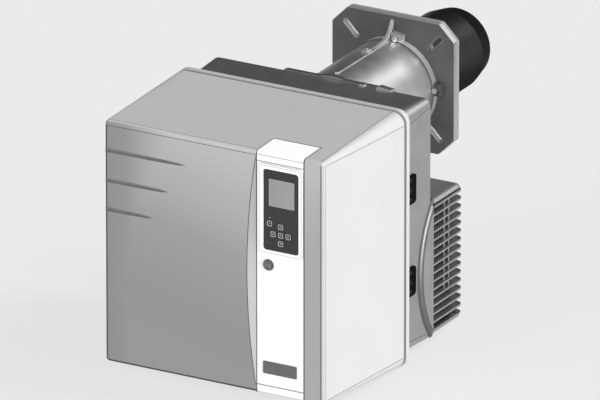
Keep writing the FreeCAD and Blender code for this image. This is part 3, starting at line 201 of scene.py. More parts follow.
FLOOR_REACH = 60.0
floor_sheet = Sheet("pale_floor", Roughness=0.9, Specular_IOR_Level=0.0)
floor_sheet.set(Base_Color=0.10, Emission_Color=1.0, Emission_Strength=0.70)
floor_mesh = bpy.data.meshes.new("floor")
floor_mesh.from_pydata([
    (FLOOR_REACH * x, FLOOR_REACH * y, cad_low.z) for x, y in ((-1, -1), (1, -1), (1, 1), (-1, 1))
], [], [(0, 1, 2, 3)])
floor_mesh.materials.append(floor_sheet.material)
floor = bpy.data.objects.new("floor", floor_mesh)
scene.collection.objects.link(floor)

DARKER_SIDE = (-0.35, 0.90, 0.26)
world = bpy.data.worlds.new("surround")
scene.world = world
world.use_nodes = True
air = Nodes(world.node_tree)
facing = air.node("ShaderNodeVectorMath", {"operation": "DOT_PRODUCT"}, {
    0: air.node("ShaderNodeTexCoord"), 1: DARKER_SIDE,
}, out=1)
air.plug(world.node_tree.nodes["Background"].inputs["Color"],
         air.ramp(facing, (0.10, 0.54), (0.80, 0.03)))


def sun(name, towards, strength, angle):
    """A far light that shines from the direction towards, angle degrees wide."""
    lamp = bpy.data.lights.new(name, "SUN")
    lamp.energy = strength
    lamp.angle = math.radians(angle)
    made = bpy.data.objects.new(name, lamp)
    made.rotation_euler = Vector(towards).to_track_quat("Z", "Y").to_euler()
    scene.collection.objects.link(made)


sun("main", (0.62, 0.25, 0.74), 2.2, 16.0)
sun("back_right", (0.45, 0.60, 0.66), 0.55, 24.0)
sun("low_right", (0.97, -0.2, 0.1), 3.4, 14.0)
sun("front_fill", (-0.25, -0.8, 0.5), 1.25, 30.0)

# The camera looks from the front right, 29 degrees round and 21 degrees up, from so far away that
# the edges stay parallel, as they are in the photo.
AZIMUTH = math.radians(29.27)
ELEVATION = math.radians(21.10)
LOOKED_AT = Vector((0.0085, -0.369, -0.0995))
FRAME_WIDTH = 1.0487
LENS = 1000.0
SENSOR = 36.0
back = Vector((
    math.sin(AZIMUTH) * math.cos(ELEVATION), -math.cos(AZIMUTH) * math.cos(ELEVATION),
    math.sin(ELEVATION),
))
camera_data = bpy.data.cameras.new("camera")
camera_data.lens = LENS
camera_data.sensor_width = SENSOR
camera_data.clip_start = 1.0
camera_data.clip_end = 200.0
camera = bpy.data.objects.new("camera", camera_data)
camera.location = LOOKED_AT + back * (FRAME_WIDTH * LENS / SENSOR)
camera.rotation_euler = back.to_track_quat("Z", "Y").to_euler()
scene.collection.objects.link(camera)
scene.camera = camera

# Castings: the fan housing, the air box, the pump's adapter and the motor's ends are pressure-cast
# aluminium, bolted together. Their grey stove enamel keeps the fine skin of the casting.
cast = Sheet("cast_grey", Metallic=1.0, Roughness=0.47)
cast.set(Base_Color=cast.patches(0.315, 0.365, 0.05, 4.0))
cast.grain(0.0012, 0.4)
cast.dress("burner_housing", "air_box", "pump_adapter", "motor_end_caps")

# Flange plate: cast, with its four corners cut off, under thin dark enamel. Its cut edges are painted
# lighter as a painted highlight, less on the top and right edges, which the lamps light, and its face
# is painted lighter towards the bottom and darker towards the top, as painted light and shade. The
# middle of its square lies a little above the burner's axis.
FLANGE_RISE = 6.7
FACE_HALF = 121.7
CORNER_OFF = 91.9
flange = Sheet("flange_grey")
plate_x, _, plate_z = flange.axes()
above = plate_z - FLANGE_RISE / 1000
outermost = abs(above).most(abs(plate_x)).most(abs(above) + abs(plate_x) - CORNER_OFF / 1000)
# Painted highlight: the cut edges are lighter, less on the top and right ones.
edge_cut = outermost > FACE_HALF / 1000
less_highlight_top_edge = above > FACE_HALF / 1000
less_highlight_right_edge = plate_x > FACE_HALF / 1000
# Painted light and shade: the face is lighter towards the bottom and darker towards the top.
plate_tone_and_painted_shade = flange.patches(0.105, 0.125, 0.05, 4.0) * (1.2 - plate_z * 3.0)
flange.set(
    Base_Color=edge_cut * (0.25 - less_highlight_top_edge * 0.10 - less_highlight_right_edge * 0.18) + plate_tone_and_painted_shade,
    Metallic=0.5 - edge_cut * 0.2, Roughness=0.5 - edge_cut * 0.1)
flange.grain(0.0012, 0.4)
flange.dress("flange_plate")

# Flange gasket: a sheet of pressed mineral fibre that is clamped between the flange plate and the
# boiler's door. Its surface is mottled and dull.
gasket = Sheet("gasket_fibre", Roughness=0.9)
gasket.set(Base_Color=gasket.patches(0.16, 0.22, 0.002, 3.0))
gasket.dress("flange_gasket")

# Slot walls: the four slots for the door's bolts point away from the flange's middle. They are milled
# out of the casting, so their walls are bare bright metal with fine lines through the plate. The walls
# of the upper right slot are painted darker, as painted shade.
machined = Sheet("machined_edge", Metallic=1.0)
slot_x, _, slot_z = machined.axes()
painted_shade_upper_right = (slot_x > 0.0) * (slot_z > 0.0)
# Painted shade: the upper right slot's walls are darker.
machined.set(Base_Color=0.80 - painted_shade_upper_right * 0.45,
             Roughness=machined.patches(0.36, 0.46, 0.0008, 2.0, (1.0, 30.0, 1.0)))
SHARP_FROM = math.radians(35)


def line_points(x, y, z):
    """Points at x, y and z, each of which is an array or one number for them all."""
    return np.stack(np.broadcast_arrays(x, y, z), -1).astype(float)


def grid_faces(rows, columns, close_rows):
    """Quads between neighbours on a grid of rows by columns points. The columns wrap round, and the
    rows do where close_rows is set."""
    down = np.arange(rows if close_rows else rows - 1)[:, None]
    along = np.arange(columns)[None, :]
    below = (down + 1) % rows
    beside = (along + 1) % columns
    corners = [down * columns + along, down * columns + beside,
               below * columns + beside, below * columns + along]
    shape = (down.size, along.size)
    return np.stack([np.broadcast_to(c, shape) for c in corners], -1).reshape(-1, 4)


def solid(name, parts, sheet, body, bevel=0.0, stands_for=()):
    """A piece of closed parts, each a stack of closed rings in mm: (rings, wrap). Neighbour rings are
    joined by quads; the ends are capped, or the last ring is joined to the first where wrap is set."""
    points, faces = [], []
    for rings, wrap in parts:
        rings = np.asarray(rings, float)
        rows, columns = rings.shape[:2]
        start = sum(len(p) for p in points)
        faces += (grid_faces(rows, columns, wrap) + start).tolist()
        if not wrap:
            faces.append((np.arange(columns)[::-1] + start).tolist())
            faces.append((np.arange(columns) + (rows - 1) * columns + start).tolist())
        points.append(rings.reshape(-1, 3) / 1000)
    mesh = bpy.data.meshes.new(name)
    mesh.from_pydata(np.concatenate(points).tolist(), [], faces)
    shaped = bmesh.new()
    shaped.from_mesh(mesh)
    bmesh.ops.recalc_face_normals(shaped, faces=shaped.faces)
    shaped.to_mesh(mesh)
    shaped.free()
    mesh.polygons.foreach_set("use_smooth", [True] * len(mesh.polygons))
    mesh.set_sharp_from_angle(angle=SHARP_FROM)
    mesh.materials.append(sheet.material)
    piece = bpy.data.objects.new(name, mesh)
    scene.collection.objects.link(piece)
    if bevel:
        edge = piece.modifiers.new("edge", "BEVEL")
        edge.width = bevel / 1000
        edge.segments = 2
        edge.limit_method = "ANGLE"
        edge.angle_limit = SHARP_FROM
    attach(piece, body)
    if stands_for:
        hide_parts(*stands_for)


def rounded(low_x, high_x, low_z, high_z, radius, y, steps=6):
    """A rounded rectangle in the plane of y: quarter circles of the radius at the four corners."""
    turn = np.radians(np.linspace(0, 90, steps))
    centres = ((high_x, high_z, 0), (low_x, high_z, 90), (low_x, low_z, 180), (high_x, low_z, 270))
    ring = []
    for (x, z, start), (a, b) in zip(centres, ((-1, -1), (1, -1), (1, 1), (-1, 1))):
        angle = turn + math.radians(start)
        ring.append(line_points(
            x + a * radius + radius * np.cos(angle), y, z + b * radius + radius * np.sin(angle)))
    return np.concatenate(ring)


SLOT_FRONT, SLOT_BACK = -18.9, -0.2
SLOT_START, SLOT_END = 99.0, 139.0
SLOT_HALF = 5.75
END_RADIUS = 5.7
SLOT_WALL = 0.9
slot_half_size = np.array([(SLOT_END - SLOT_START) / 2, 1.0, SLOT_HALF])
wall_rings = ((SLOT_FRONT, 0.0), (SLOT_BACK, 0.0), (SLOT_BACK, SLOT_WALL), (SLOT_FRONT, SLOT_WALL))
slot_walls = []
for place in (45, 135, 225, 315):
    turn = math.radians(place)
    along = np.array([math.cos(turn), 0.0, math.sin(turn)])
    across = np.array([-math.sin(turn), 0.0, math.cos(turn)])
    rings = []
    for y, inset in wall_rings:
        flat = rounded(SLOT_START, SLOT_END, -SLOT_HALF, SLOT_HALF, END_RADIUS, y)
        middle = np.array([(SLOT_START + SLOT_END) / 2, y, 0.0])
        flat = middle + (flat - middle) * (1 - inset / slot_half_size)
        rings.append(flat[:, :1] * along + flat[:, 2:] * across + np.array([0.0, y, FLANGE_RISE]))
    slot_walls.append((rings, True))
solid("slot_walls", slot_walls, machined, "burner")

# Neck: cast aluminium, turned bright, so that fine tool marks run round it. A pad stands at its foot,
# which screws fix to the housing, and a thin rib runs along its top.
PAD_BACK = -230.5
neck = Sheet("bright_aluminium", Metallic=1.0)
tool_marks = neck.noise(0.0008, 2.0, (60.0, 1.0, 60.0))
on_pad = neck.axes()[1] < PAD_BACK / 1000
neck.set(Base_Color=neck.ramp(tool_marks, (0.3, 0.52), (0.7, 0.56)) - on_pad * 0.25,
         Roughness=neck.patches(0.40, 0.46, 0.03, 3.0))
neck.bump(tool_marks, 0.00002, 0.15)
neck.dress("neck")

# Clamp collar: a bright cast ring with lugs, a little rougher than the neck. Screws through the lugs
# hold it, and the neck with it, to the flange plate. Its lugs are painted darker, and the ring darker
# towards its right, as painted shade. A dark seam shows where it meets the neck.
LUG_START = 89.5
collar = Sheet("collar_aluminium", Metallic=0.25)
collar_x, _, collar_z = collar.axes()
on_side_lug = collar_x > LUG_START / 1000
on_top_lug = collar_z > LUG_START / 1000
shaded_side = collar.ramp(collar_x * 10.0, (0.45, 0.0), (0.82, 0.22))
# Painted shade: the lugs and the ring's right side are darker.
collar.set(Base_Color=0.50 - on_side_lug * 0.22 - on_top_lug * 0.22 - shaded_side,
           Roughness=collar.patches(0.35, 0.45, 0.004, 3.0))
collar.grain(0.001, 0.3)
collar.dress("clamp_collar")
joint = Sheet("dark_joint", Roughness=0.7)
joint.set(Base_Color=joint.patches(0.03, 0.045, 0.01))


def circle(x, z, radius, y, count=24):
    """A circle in the plane of y round x, z: (x + radius·cos, y, z + radius·sin) of count angles."""
    turn = np.radians(np.arange(count) * 360 / count)
    return line_points(x + radius * np.cos(turn), y, z + radius * np.sin(turn))


solid("collar_seam", [([
    circle(0.0, 0.0, radius, y, 90)
    for radius, y in ((87.3, -32.5), (87.3, -34.2), (88.2, -33.6), (89.15, -32.9), (89.15, -32.5))
], True)], joint, "burner")

# Rib's web and boss, cast with the neck: the web rises in a hollow curve from the rib to the flange,
# and the boss is a small pad on the rib's left, with the head of a stud on it.
web_edge = np.array([
    (-100.0, 89.0), (-76.0, 89.8), (-58.0, 91.3), (-46.0, 94.0), (-37.0, 98.5), (-30.0, 105.0),
    (-24.5, 113.0), (-21.5, 119.0), (-18.8, 122.0), (-18.8, 86.0), (-100.0, 86.0),
])
FOOT_BELOW = 88.0
web_foot = (web_edge[:, 1] < FOOT_BELOW).astype(float)
web_grey = Sheet("web_grey", Metallic=0.3, Roughness=0.5)
web_grey.set(Base_Color=web_grey.patches(0.24, 0.30, 0.01, 3.0))
web_grey.grain(0.001, 0.3)
solid("rib_web", [([
    line_points(x + lean * web_foot, web_edge[:, 0], web_edge[:, 1])
    for x, lean in ((-4.5, -3.0), (-3.0, -3.0), (1.2, 2.0), (1.6, 3.0))
], False)], web_grey, "burner", bevel=0.5)
STUD_X, STUD_Y = -5.5, -105.0
stud_turn = np.radians(np.arange(0, 360, 36))
solid("rib_boss", [([
    rounded(-12.5, 1.0, 84.5, 92.6, 2.5, y) for y in (-112.0, -98.5)
], False), ([
    line_points(STUD_X + radius * np.cos(stud_turn), STUD_Y + radius * np.sin(stud_turn), z)
    for radius, z in ((2.6, 92.3), (2.6, 94.2), (1.8, 94.8))
], False)], web_grey, "burner", bevel=0.6)

# Louvre cover: cast and enamelled as the housing is. The crescent rim of the cheek that laps onto it
# is painted darker, as painted shade. A joint runs round the crescent, with a line where its rounding
# ends.
CHEEK_Y, CHEEK_Z = -85.3, -240.0
CHEEK_RIM = 190.2
cover = Sheet("cover_grey", Metallic=1.0, Roughness=0.47)
_, cover_y, cover_z = cover.axes()
from_y = cover_y - CHEEK_Y / 1000
from_z = cover_z - CHEEK_Z / 1000
painted_shade_rim = from_y * from_y + from_z * from_z > (CHEEK_RIM / 1000) ** 2
# Painted shade: the crescent rim is darker.
cover.set(Base_Color=cover.patches(0.315, 0.365, 0.05, 4.0) * (1.0 - painted_shade_rim * 0.52))
cover.grain(0.0012, 0.4)
cover.dress("louvre_cover")


def swept(path, ups, profile):
    """A part for solid: rings of a profile carried along a path, point + a·side + b·up, mitred at the
    corners, where side = along × up."""
    path = np.asarray(path, float)
    ups = np.broadcast_to(np.asarray(ups, float), path.shape)
    ahead = np.roll(path, -1, 0) - path
    behind = path - np.roll(path, 1, 0)
    ahead[-1], behind[0] = behind[-1], ahead[0]
    ahead /= np.linalg.norm(ahead, axis=1, keepdims=True)
    behind /= np.linalg.norm(behind, axis=1, keepdims=True)
    along = ahead + behind
    along /= np.linalg.norm(along, axis=1, keepdims=True)
    side = np.cross(along, ups)
    side /= np.linalg.norm(side, axis=1, keepdims=True)
    side /= (ahead * along).sum(1, keepdims=True)
    profile = np.asarray(profile, float)
    if profile.ndim == 2:
        profile = np.broadcast_to(profile, (len(path),) + profile.shape)
    rings = path[:, None] + side[:, None] * profile[..., :1] + ups[:, None] * profile[..., 1:]
    return rings, False


def half_round(width, height, sunk=0.4, steps=7):
    """Half an ellipse of the width and height, on a foot that goes down by sunk."""
    turn = np.linspace(0, np.pi, steps)
    top = np.stack([width / 2 * np.cos(turn), height * np.sin(turn)], -1)
    return np.concatenate([top, [[-width / 2, -sunk], [width / 2, -sunk]]])


HOUSING_RIGHT = 198.1
crescent = []
for radius, tip, x, width in ((200.0, 156.0, HOUSING_RIGHT, 3.2), (189.9, 153.0, 203.0, 2.8)):
    half_turn = math.acos(tip / radius)
    turn = np.linspace(math.pi - half_turn, math.pi + half_turn, 40)
    crescent.append(swept(
        line_points(x, CHEEK_Y + radius * np.cos(turn), CHEEK_Z + radius * np.sin(turn)),
        (1, 0, 0), half_round(width, 0.2)))
solid("crescent_lines", crescent, joint, "burner")

# Housing's corner lines: fine marks, cast in, where the roundings of its right side's corners end. A
# corner's radius runs straight from the housing's front to its back.
HOUSING_TOP, HOUSING_BOTTOM = 82.4, -371.0
HOUSING_FRONT, HOUSING_DEPTH = -346.0, 106.8
FRONT_RADIUS, BACK_RADIUS = 26.0, 15.0
side_y = np.linspace(-344.0, -243.0, 5)
side_radius = FRONT_RADIUS + (side_y - HOUSING_FRONT) / HOUSING_DEPTH * (BACK_RADIUS - FRONT_RADIUS)
solid("housing_corner_lines", [
    swept(line_points(HOUSING_RIGHT, side_y, HOUSING_TOP - side_radius), (1, 0, 0),
          half_round(1.3, 0.2)),
    swept(line_points(HOUSING_RIGHT - side_radius, side_y, HOUSING_TOP), (0, 0, 1),
          half_round(1.0, 0.2)),
    swept(line_points(HOUSING_RIGHT, side_y, HOUSING_BOTTOM + side_radius), (1, 0, 0),
          half_round(1.3, 0.2)),
], joint, "burner")

# Ears of the neck's pad: two small fins, cast with the pad, that look over the rear edge of the
# housing's top and carry its enamel.
EAR_FRONT, EAR_BACK = -246.0, -232.5
ears = [
    np.array([(54.0, 80.0), (55.5, 83.6), (59.0, 85.6), (64.0, 85.8), (68.0, 83.8), (70.0, 80.0)]),
    np.array([(90.0, 80.0), (91.0, 84.0), (96.0, 87.6), (101.0, 87.2), (112.0, 85.6), (122.0, 85.0),
              (123.0, 80.0)]),
]
solid("pad_ears", [
    ([line_points(ear[:, 0], y, ear[:, 1]) for y in (EAR_FRONT, EAR_BACK)], False) for ear in ears
], cast, "burner", bevel=0.6)

# Blast tube: rolled from heat-resisting steel under black stove paint, with its root held inside the
# neck. On the underside and where the tube is drawn in at its mouth it is made metallic and rougher,
# which takes its gloss away and darkens it there as painted shade.
DRAWN_IN = 176.0
black_steel = Sheet("black_steel", Specular_IOR_Level=0.4)
_, along_tube, over_axis = black_steel.axes()
# Painted shade: the underside and the drawn-in mouth lose their gloss and read darker.
painted_shade_below = black_steel.ramp(0.5 - over_axis * 5.0, (0.3, 0.0), (0.5, 0.6), (0.6, 0.88), (0.7, 1.0))
painted_shade_dulling = painted_shade_below.most((along_tube > DRAWN_IN / 1000) * 0.85)
black_steel.set(Base_Color=black_steel.patches(0.003, 0.006, 0.03, 4.0), Metallic=painted_shade_dulling,
                Roughness=painted_shade_dulling * 0.5 + 0.42)
black_steel.grain(0.0015, 0.3, 0.00008)
black_steel.dress("blast_tube")

# Fasteners: the screws of the pad, the collar and the equipment plate, and the post that takes the
# hood's lock screw. All are steel, rolled or turned, and plated with zinc.
zinc = Sheet("zinc_steel", Metallic=1.0, Base_Color=0.6)
zinc.set(Roughness=zinc.patches(0.25, 0.4, 0.002, 3.0))
zinc.dress("case_screws", "plate_screws", "hood_post")

# Hood: moulded from light grey plastic with a fine grain, and pushed over the housing from the front.
# The mould left faint lines where its roundings begin, and a grey bead fills the groove behind its
# rim.
HOOD_BACK, HOOD_FRONT = -338.1, -621.6
FACE_START = -621.2
FRONT_EDGE = 6.0
BACK_OUTLINE = (-252.0, 210.0, 95.0, -387.0, 24.0)
FRONT_OUTLINE = (-239.8, 197.4, 88.4, -362.3, 7.0)
COLUMN_LEFT, COLUMN_RIGHT = 64.0, 158.0
hood_grey = Sheet("hood_grey", Roughness=0.5)
hood_x, hood_y, hood_z = hood_grey.axes()
on_face = hood_y < FACE_START / 1000
right_of_column = hood_x > (COLUMN_LEFT + COLUMN_RIGHT) / 2000
# Painted light and shade on the front face: right of the column it is lighter at the top and darker
# towards the bottom, and left of it lighter towards the bottom.
darker_down = hood_grey.ramp(
    hood_z * 5.0 + 0.5, (0.07, 0.235), (0.25, 0.227), (0.44, 0.155), (0.62, 0.085), (0.81, 0.0))
lighter_down = hood_grey.ramp(
    hood_z * 2.0 + 0.8, (0.45, 0.33), (0.526, 0.28), (0.60, 0.24), (0.676, 0.08), (0.79, 0.01))
face_painted_light_and_shade = right_of_column * (0.085 - darker_down) + (1.0 - right_of_column) * lighter_down
hood_grey.set(Base_Color=hood_grey.patches(0.375, 0.39, 0.08) * (1.0 + on_face * face_painted_light_and_shade))
hood_grey.grain(0.0006, 0.25, 0.00004, 2.0)
hood_grey.dress("hood_shell")
witness = Sheet("mould_line", Roughness=0.6)
witness.set(Base_Color=witness.patches(0.10, 0.13, 0.03))


def hood_sides(y):
    """Left, right, top and bottom of the hood and its corner radius at y: straight lines from the
    back outline to the front one."""
    part = (HOOD_BACK - np.asarray(y, float)) / (HOOD_BACK - HOOD_FRONT)
    return [start + part * (end - start) for start, end in zip(BACK_OUTLINE, FRONT_OUTLINE)]


def hood_outline(y, inset):
    """The hood's rounded outline at y, drawn in by inset."""
    low_x, high_x, high_z, low_z, radius = (float(v) for v in hood_sides(y))
    return rounded(low_x + inset, high_x - inset, low_z + inset, high_z - inset, radius - inset, y, 8)


front_left, front_right, front_top, front_bottom, front_corner = FRONT_OUTLINE
edge_back = HOOD_FRONT + FRONT_EDGE
RIM_WIDTH = 18.5
lengthways = np.linspace(edge_back, HOOD_BACK - RIM_WIDTH, 12)
_, right, top, bottom, corner = hood_sides(lengthways)
upright = np.linspace(82.0, -355.5, 4)
MOULD_LINE = half_round(1.2, 0.22)
FACE_LINE = half_round(2.0, 0.25)
solid("hood_mould_lines", [
    swept(line_points(right - corner, lengthways, top), (0, 0, 1), MOULD_LINE),
    swept(line_points(right, lengthways, top - corner), (1, 0, 0), MOULD_LINE),
    swept(line_points(right, lengthways, bottom + corner), (1, 0, 0), MOULD_LINE),
    swept(line_points(front_right - FRONT_EDGE, HOOD_FRONT, upright), (0, -1, 0), FACE_LINE),
    swept(line_points(front_right, edge_back, upright), (1, 0, 0), FACE_LINE),
    swept(line_points(np.linspace(-234.0, 63.4, 4), edge_back, front_top), (0, 0, 1), MOULD_LINE),
], witness, "hood")
bead_grey = Sheet("rim_cord", Roughness=0.7)
bead_grey.set(Base_Color=bead_grey.patches(0.10, 0.13, 0.01))
solid("hood_rim_cord", [([
    hood_outline(y, inset) for y, inset in (
        (-355.8, 2.2), (-355.2, 1.6), (-349.0, 1.6), (-348.4, 2.2), (-348.4, 3.6), (-355.8, 3.6))
], True)], bead_grey, "hood")

# Front panel: a satin silver sheet, brushed upright, that is bonded to the left of the hood's front.
# A dark joint runs all round it: along the hood's rounded edge, and down the bow beside the column.
silver = Sheet("silver_panel", Metallic=0.35)
across, _, up = silver.axes()
# Painted reflection and shade: the silver is lighter towards the top, as a broad sheen, and darker
# towards its left edge.
painted_sheen = silver.ramp(
    across * 0.25 + up + 0.40, (0.05, 0.285), (0.14, 0.27), (0.29, 0.315), (0.345, 0.37), (0.50, 0.49))
painted_left_shade = silver.ramp(across + 0.5, (0.26, 0.25), (0.30, 0.27), (0.37, 0.42), (0.46, 0.60))
streaks = silver.noise(0.0015, 2.0, (1.0, 1.0, 120.0))
silver.set(Base_Color=painted_sheen.least(painted_left_shade),
           Roughness=silver.ramp(streaks, (0.3, 0.34), (0.7, 0.44)))
silver.bump(streaks, 0.00003, 0.25)
silver.dress("front_panel")


def arc(start, middle, end, count):
    """Points on the circle through three points of a plane, from start to end. Its middle is where
    the three squared distances are equal."""
    (ax, ay), (bx, by), (cx, cy) = start, middle, end
    twice = 2 * (ax * (by - cy) + bx * (cy - ay) + cx * (ay - by))
    squares = [x * x + y * y for x, y in (start, middle, end)]
    x = (squares[0] * (by - cy) + squares[1] * (cy - ay) + squares[2] * (ay - by)) / twice
    y = (squares[0] * (cx - bx) + squares[1] * (ax - cx) + squares[2] * (bx - ax)) / twice
    first = math.atan2(ay - y, ax - x)
    last = math.atan2(cy - y, cx - x)
    last = first + (last - first + math.pi) % (2 * math.pi) - math.pi
    turn = np.linspace(first, last, count)
    radius = math.hypot(ax - x, ay - y)
    return np.stack([x + radius * np.cos(turn), y + radius * np.sin(turn)], -1)


SEAT_TILT = math.radians(30)
STRAIGHT_STEPS = 6
corner_x, corner_z = front_left + front_corner, front_bottom + front_corner
turn = np.radians(np.linspace(0, 90, 9))
outward = np.concatenate([
    np.tile([-1.0, 0.0], (STRAIGHT_STEPS, 1)), np.stack([-np.cos(turn), -np.sin(turn)], -1),
    np.tile([0.0, -1.0], (STRAIGHT_STEPS, 1)),
])
inner = np.concatenate([
    np.stack([np.full(STRAIGHT_STEPS, corner_x), np.linspace(79.0, -350.0, STRAIGHT_STEPS)], -1),
    np.tile([corner_x, corner_z], (9, 1)),
    np.stack([np.linspace(-227.0, 63.0, STRAIGHT_STEPS), np.full(STRAIGHT_STEPS, corner_z)], -1),
])
spots = inner + outward * (front_corner - FRONT_EDGE * (1 - math.sin(SEAT_TILT)))
edge_depth = HOOD_FRONT + FRONT_EDGE * (1 - math.cos(SEAT_TILT))
edge_ups = line_points(
    outward[:, 0] * math.sin(SEAT_TILT), -math.cos(SEAT_TILT), outward[:, 1] * math.sin(SEAT_TILT))
bow = arc((COLUMN_LEFT, 88.0), (44.6, -144.0), (COLUMN_LEFT, -361.0), 40)[1:-1]
solid("panel_joint", [
    swept(line_points(spots[:, 0], edge_depth, spots[:, 1]), edge_ups, half_round(3.4, 0.35)),
    swept(line_points(bow[:, 0], HOOD_FRONT, bow[:, 1]), (0, -1, 0), half_round(1.3, 0.3)),
    swept(line_points(np.linspace(-235.5, 62.2, 5), HOOD_FRONT, 79.6), (0, -1, 0),
          half_round(0.9, 0.25)),
], joint, "hood")

# Groove shade: dark grey painted shade that fills the panel's three tapered grooves and laps a little
# over their edges. It is darkest in a thin line just below the middle of each groove, as painted shade.
GROOVES = ((33.0, 160.0), (-23.0, 125.0), (-77.0, 93.0))
GROOVE_LEFT = -237.9
GROOVE_FLOOR, SHADE_RISE = 1.25, 1.33
SHADE_WIDTH, TIP_WIDTH = 8.0, 0.4
LINE_BELOW, LINE_HALF = 1.2, 1.3
groove_grey = Sheet("groove_grey", Roughness=0.7)
groove_z = groove_grey.axes()[2]
line_1, line_2, line_3 = (abs(groove_z - (level - LINE_BELOW) / 1000) for level, _ in GROOVES)
beside_line = line_1.least(line_2).least(line_3) > LINE_HALF / 1000
# Painted shade: darkest in a line below each groove's middle, lighter beside it.
groove_grey.set(Base_Color=groove_grey.patches(0.08, 0.10, 0.01) + beside_line * 0.05)
reach = np.linspace(0.0, 1.0, 14)
half_width = (SHADE_WIDTH * (1 - 0.3 * reach) * np.sqrt(1 - reach ** 6) + TIP_WIDTH) / 2
groove_section = np.stack([
    np.stack([side * half_width, np.full_like(reach, rise)], -1)
    for side, rise in ((-1, 0.0), (1, 0.0), (1, SHADE_RISE), (-1, SHADE_RISE))
], 1)
solid("groove_painted_shade", [
    swept(line_points(GROOVE_LEFT + reach * length, HOOD_FRONT + GROOVE_FLOOR, level), (0, -1, 0),
          groove_section) for level, length in GROOVES
], groove_grey, "hood")

# Column: white gloss plastic in three lengths, clipped into the hood's front, with thin dark joints
# beside them and paler ones between them.
COLUMN_FOOT = -361.5
CAP_BACK = HOOD_FRONT + 61.6
white = Sheet("white_plastic", Roughness=0.3, Coat_Weight=0.2)
white.set(Base_Color=white.patches(0.86, 0.89, 0.1))
white.dress("column_fascia", "column_end_caps", "display_bezel")


def over_the_top(x):
    """A path up the hood's front at x, round its top edge on a quarter circle and back to the end of
    the cap, with the outward directions."""
    quarter = np.radians(np.linspace(0, 90, 6))[1:-1]
    roof = np.linspace(edge_back, CAP_BACK, 4)
    y = np.concatenate([np.full(5, HOOD_FRONT), HOOD_FRONT + FRONT_EDGE * (1 - np.cos(quarter)), roof])
    z = np.concatenate([
        np.linspace(COLUMN_FOOT, 82.0, 5), front_top - FRONT_EDGE * (1 - np.sin(quarter)),
        hood_sides(roof)[2],
    ])
    lean = np.concatenate([np.zeros(5), quarter, np.full(4, np.pi / 2)])
    return line_points(x, y, z), line_points(0.0, -np.cos(lean), np.sin(lean))


cap_back_z = hood_sides(CAP_BACK)[2]
solid("column_side_joints", [
    swept(*over_the_top(COLUMN_LEFT), half_round(1.8, 0.3)),
    swept(*over_the_top(COLUMN_RIGHT), half_round(2.2, 0.3)),
    swept(line_points(np.linspace(63.6, 158.4, 4), CAP_BACK, cap_back_z), (0, 0, 1),
          half_round(2.4, 0.35)),
], joint, "hood")
cap_lines = Sheet("cap_joint", Roughness=0.7)
cap_lines.set(Base_Color=cap_lines.patches(0.15, 0.20, 0.01))
cross = np.linspace(64.6, 157.3, 4)
solid("column_cross_joints", [
    swept(line_points(cross, HOOD_FRONT, z), (0, -1, 0), half_round(width, 0.22))
    for z, width in ((70.0, 1.6), (81.6, 1.1), (-346.0, 1.9))
], cap_lines, "hood")

# Display: a dark gloss key panel in a white frame on the column, with a grey liquid-crystal window in
# a thin light border, and a small lamp. Fine joints run round the frame and round the panel.
dark = Sheet("dark_panel", Roughness=0.3, Coat_Weight=0.3)
dark.set(Base_Color=dark.patches(0.007, 0.011, 0.03))
dark.dress("display_panel", "key_mode", "key_up", "key_down", "key_left", "key_right", "key_ok")
WINDOW = (88.8, 138.8, -9.6, 40.5)
GLASS_INSET = 0.2
lcd = Sheet("lcd_glass", Roughness=0.25)
lcd_x, _, lcd_z = lcd.axes()
in_sight = (lcd_x > (WINDOW[0] + GLASS_INSET) / 1000) * (lcd_z > (WINDOW[2] + GLASS_INSET) / 1000)
# Painted light: the window's grey is a little lighter towards the right.
painted_light_across = lcd.ramp(lcd_x * 20.0 - 1.7, (0.1, 0.242), (0.9, 0.266))
lcd.set(Base_Color=in_sight * painted_light_across + 0.015)
lcd.dress("lcd_window")


FRAME_SUNK = 0.3
SMALLEST_RADIUS = 0.3


def band(low_x, high_x, low_z, high_z, radius, width, y, height):
    """A flat frame that stands height in front of y: width wide, inside a rounded rectangle."""
    back, front = y + FRAME_SUNK, y - height
    return [rounded(
        low_x + inset, high_x - inset, low_z + inset, high_z - inset,
        max(radius - inset, SMALLEST_RADIUS), depth,
    ) for depth, inset in ((back, 0.0), (front, 0.0), (front, width), (back, width))], True


solid("display_outline", [
    band(66.4, 156.6, -100.6, 67.6, 8.6, 1.1, HOOD_FRONT, 0.25),
    band(69.6, 153.4, -97.4, 64.4, 6.0, 0.6, -623.1, 0.12),
], cap_lines, "hood")
light_print = Sheet("light_print", Roughness=0.5)
light_print.set(Base_Color=light_print.patches(0.34, 0.40, 0.01))
solid("lcd_border", [band(*WINDOW, 1.2, 0.9, -622.1, 0.2)], light_print, "hood")
lamp = Sheet("lamp", Roughness=0.2, Coat_Weight=0.5)
lamp.set(Base_Color=lamp.patches(0.13, 0.19, 0.002))
lamp.dress("status_led")

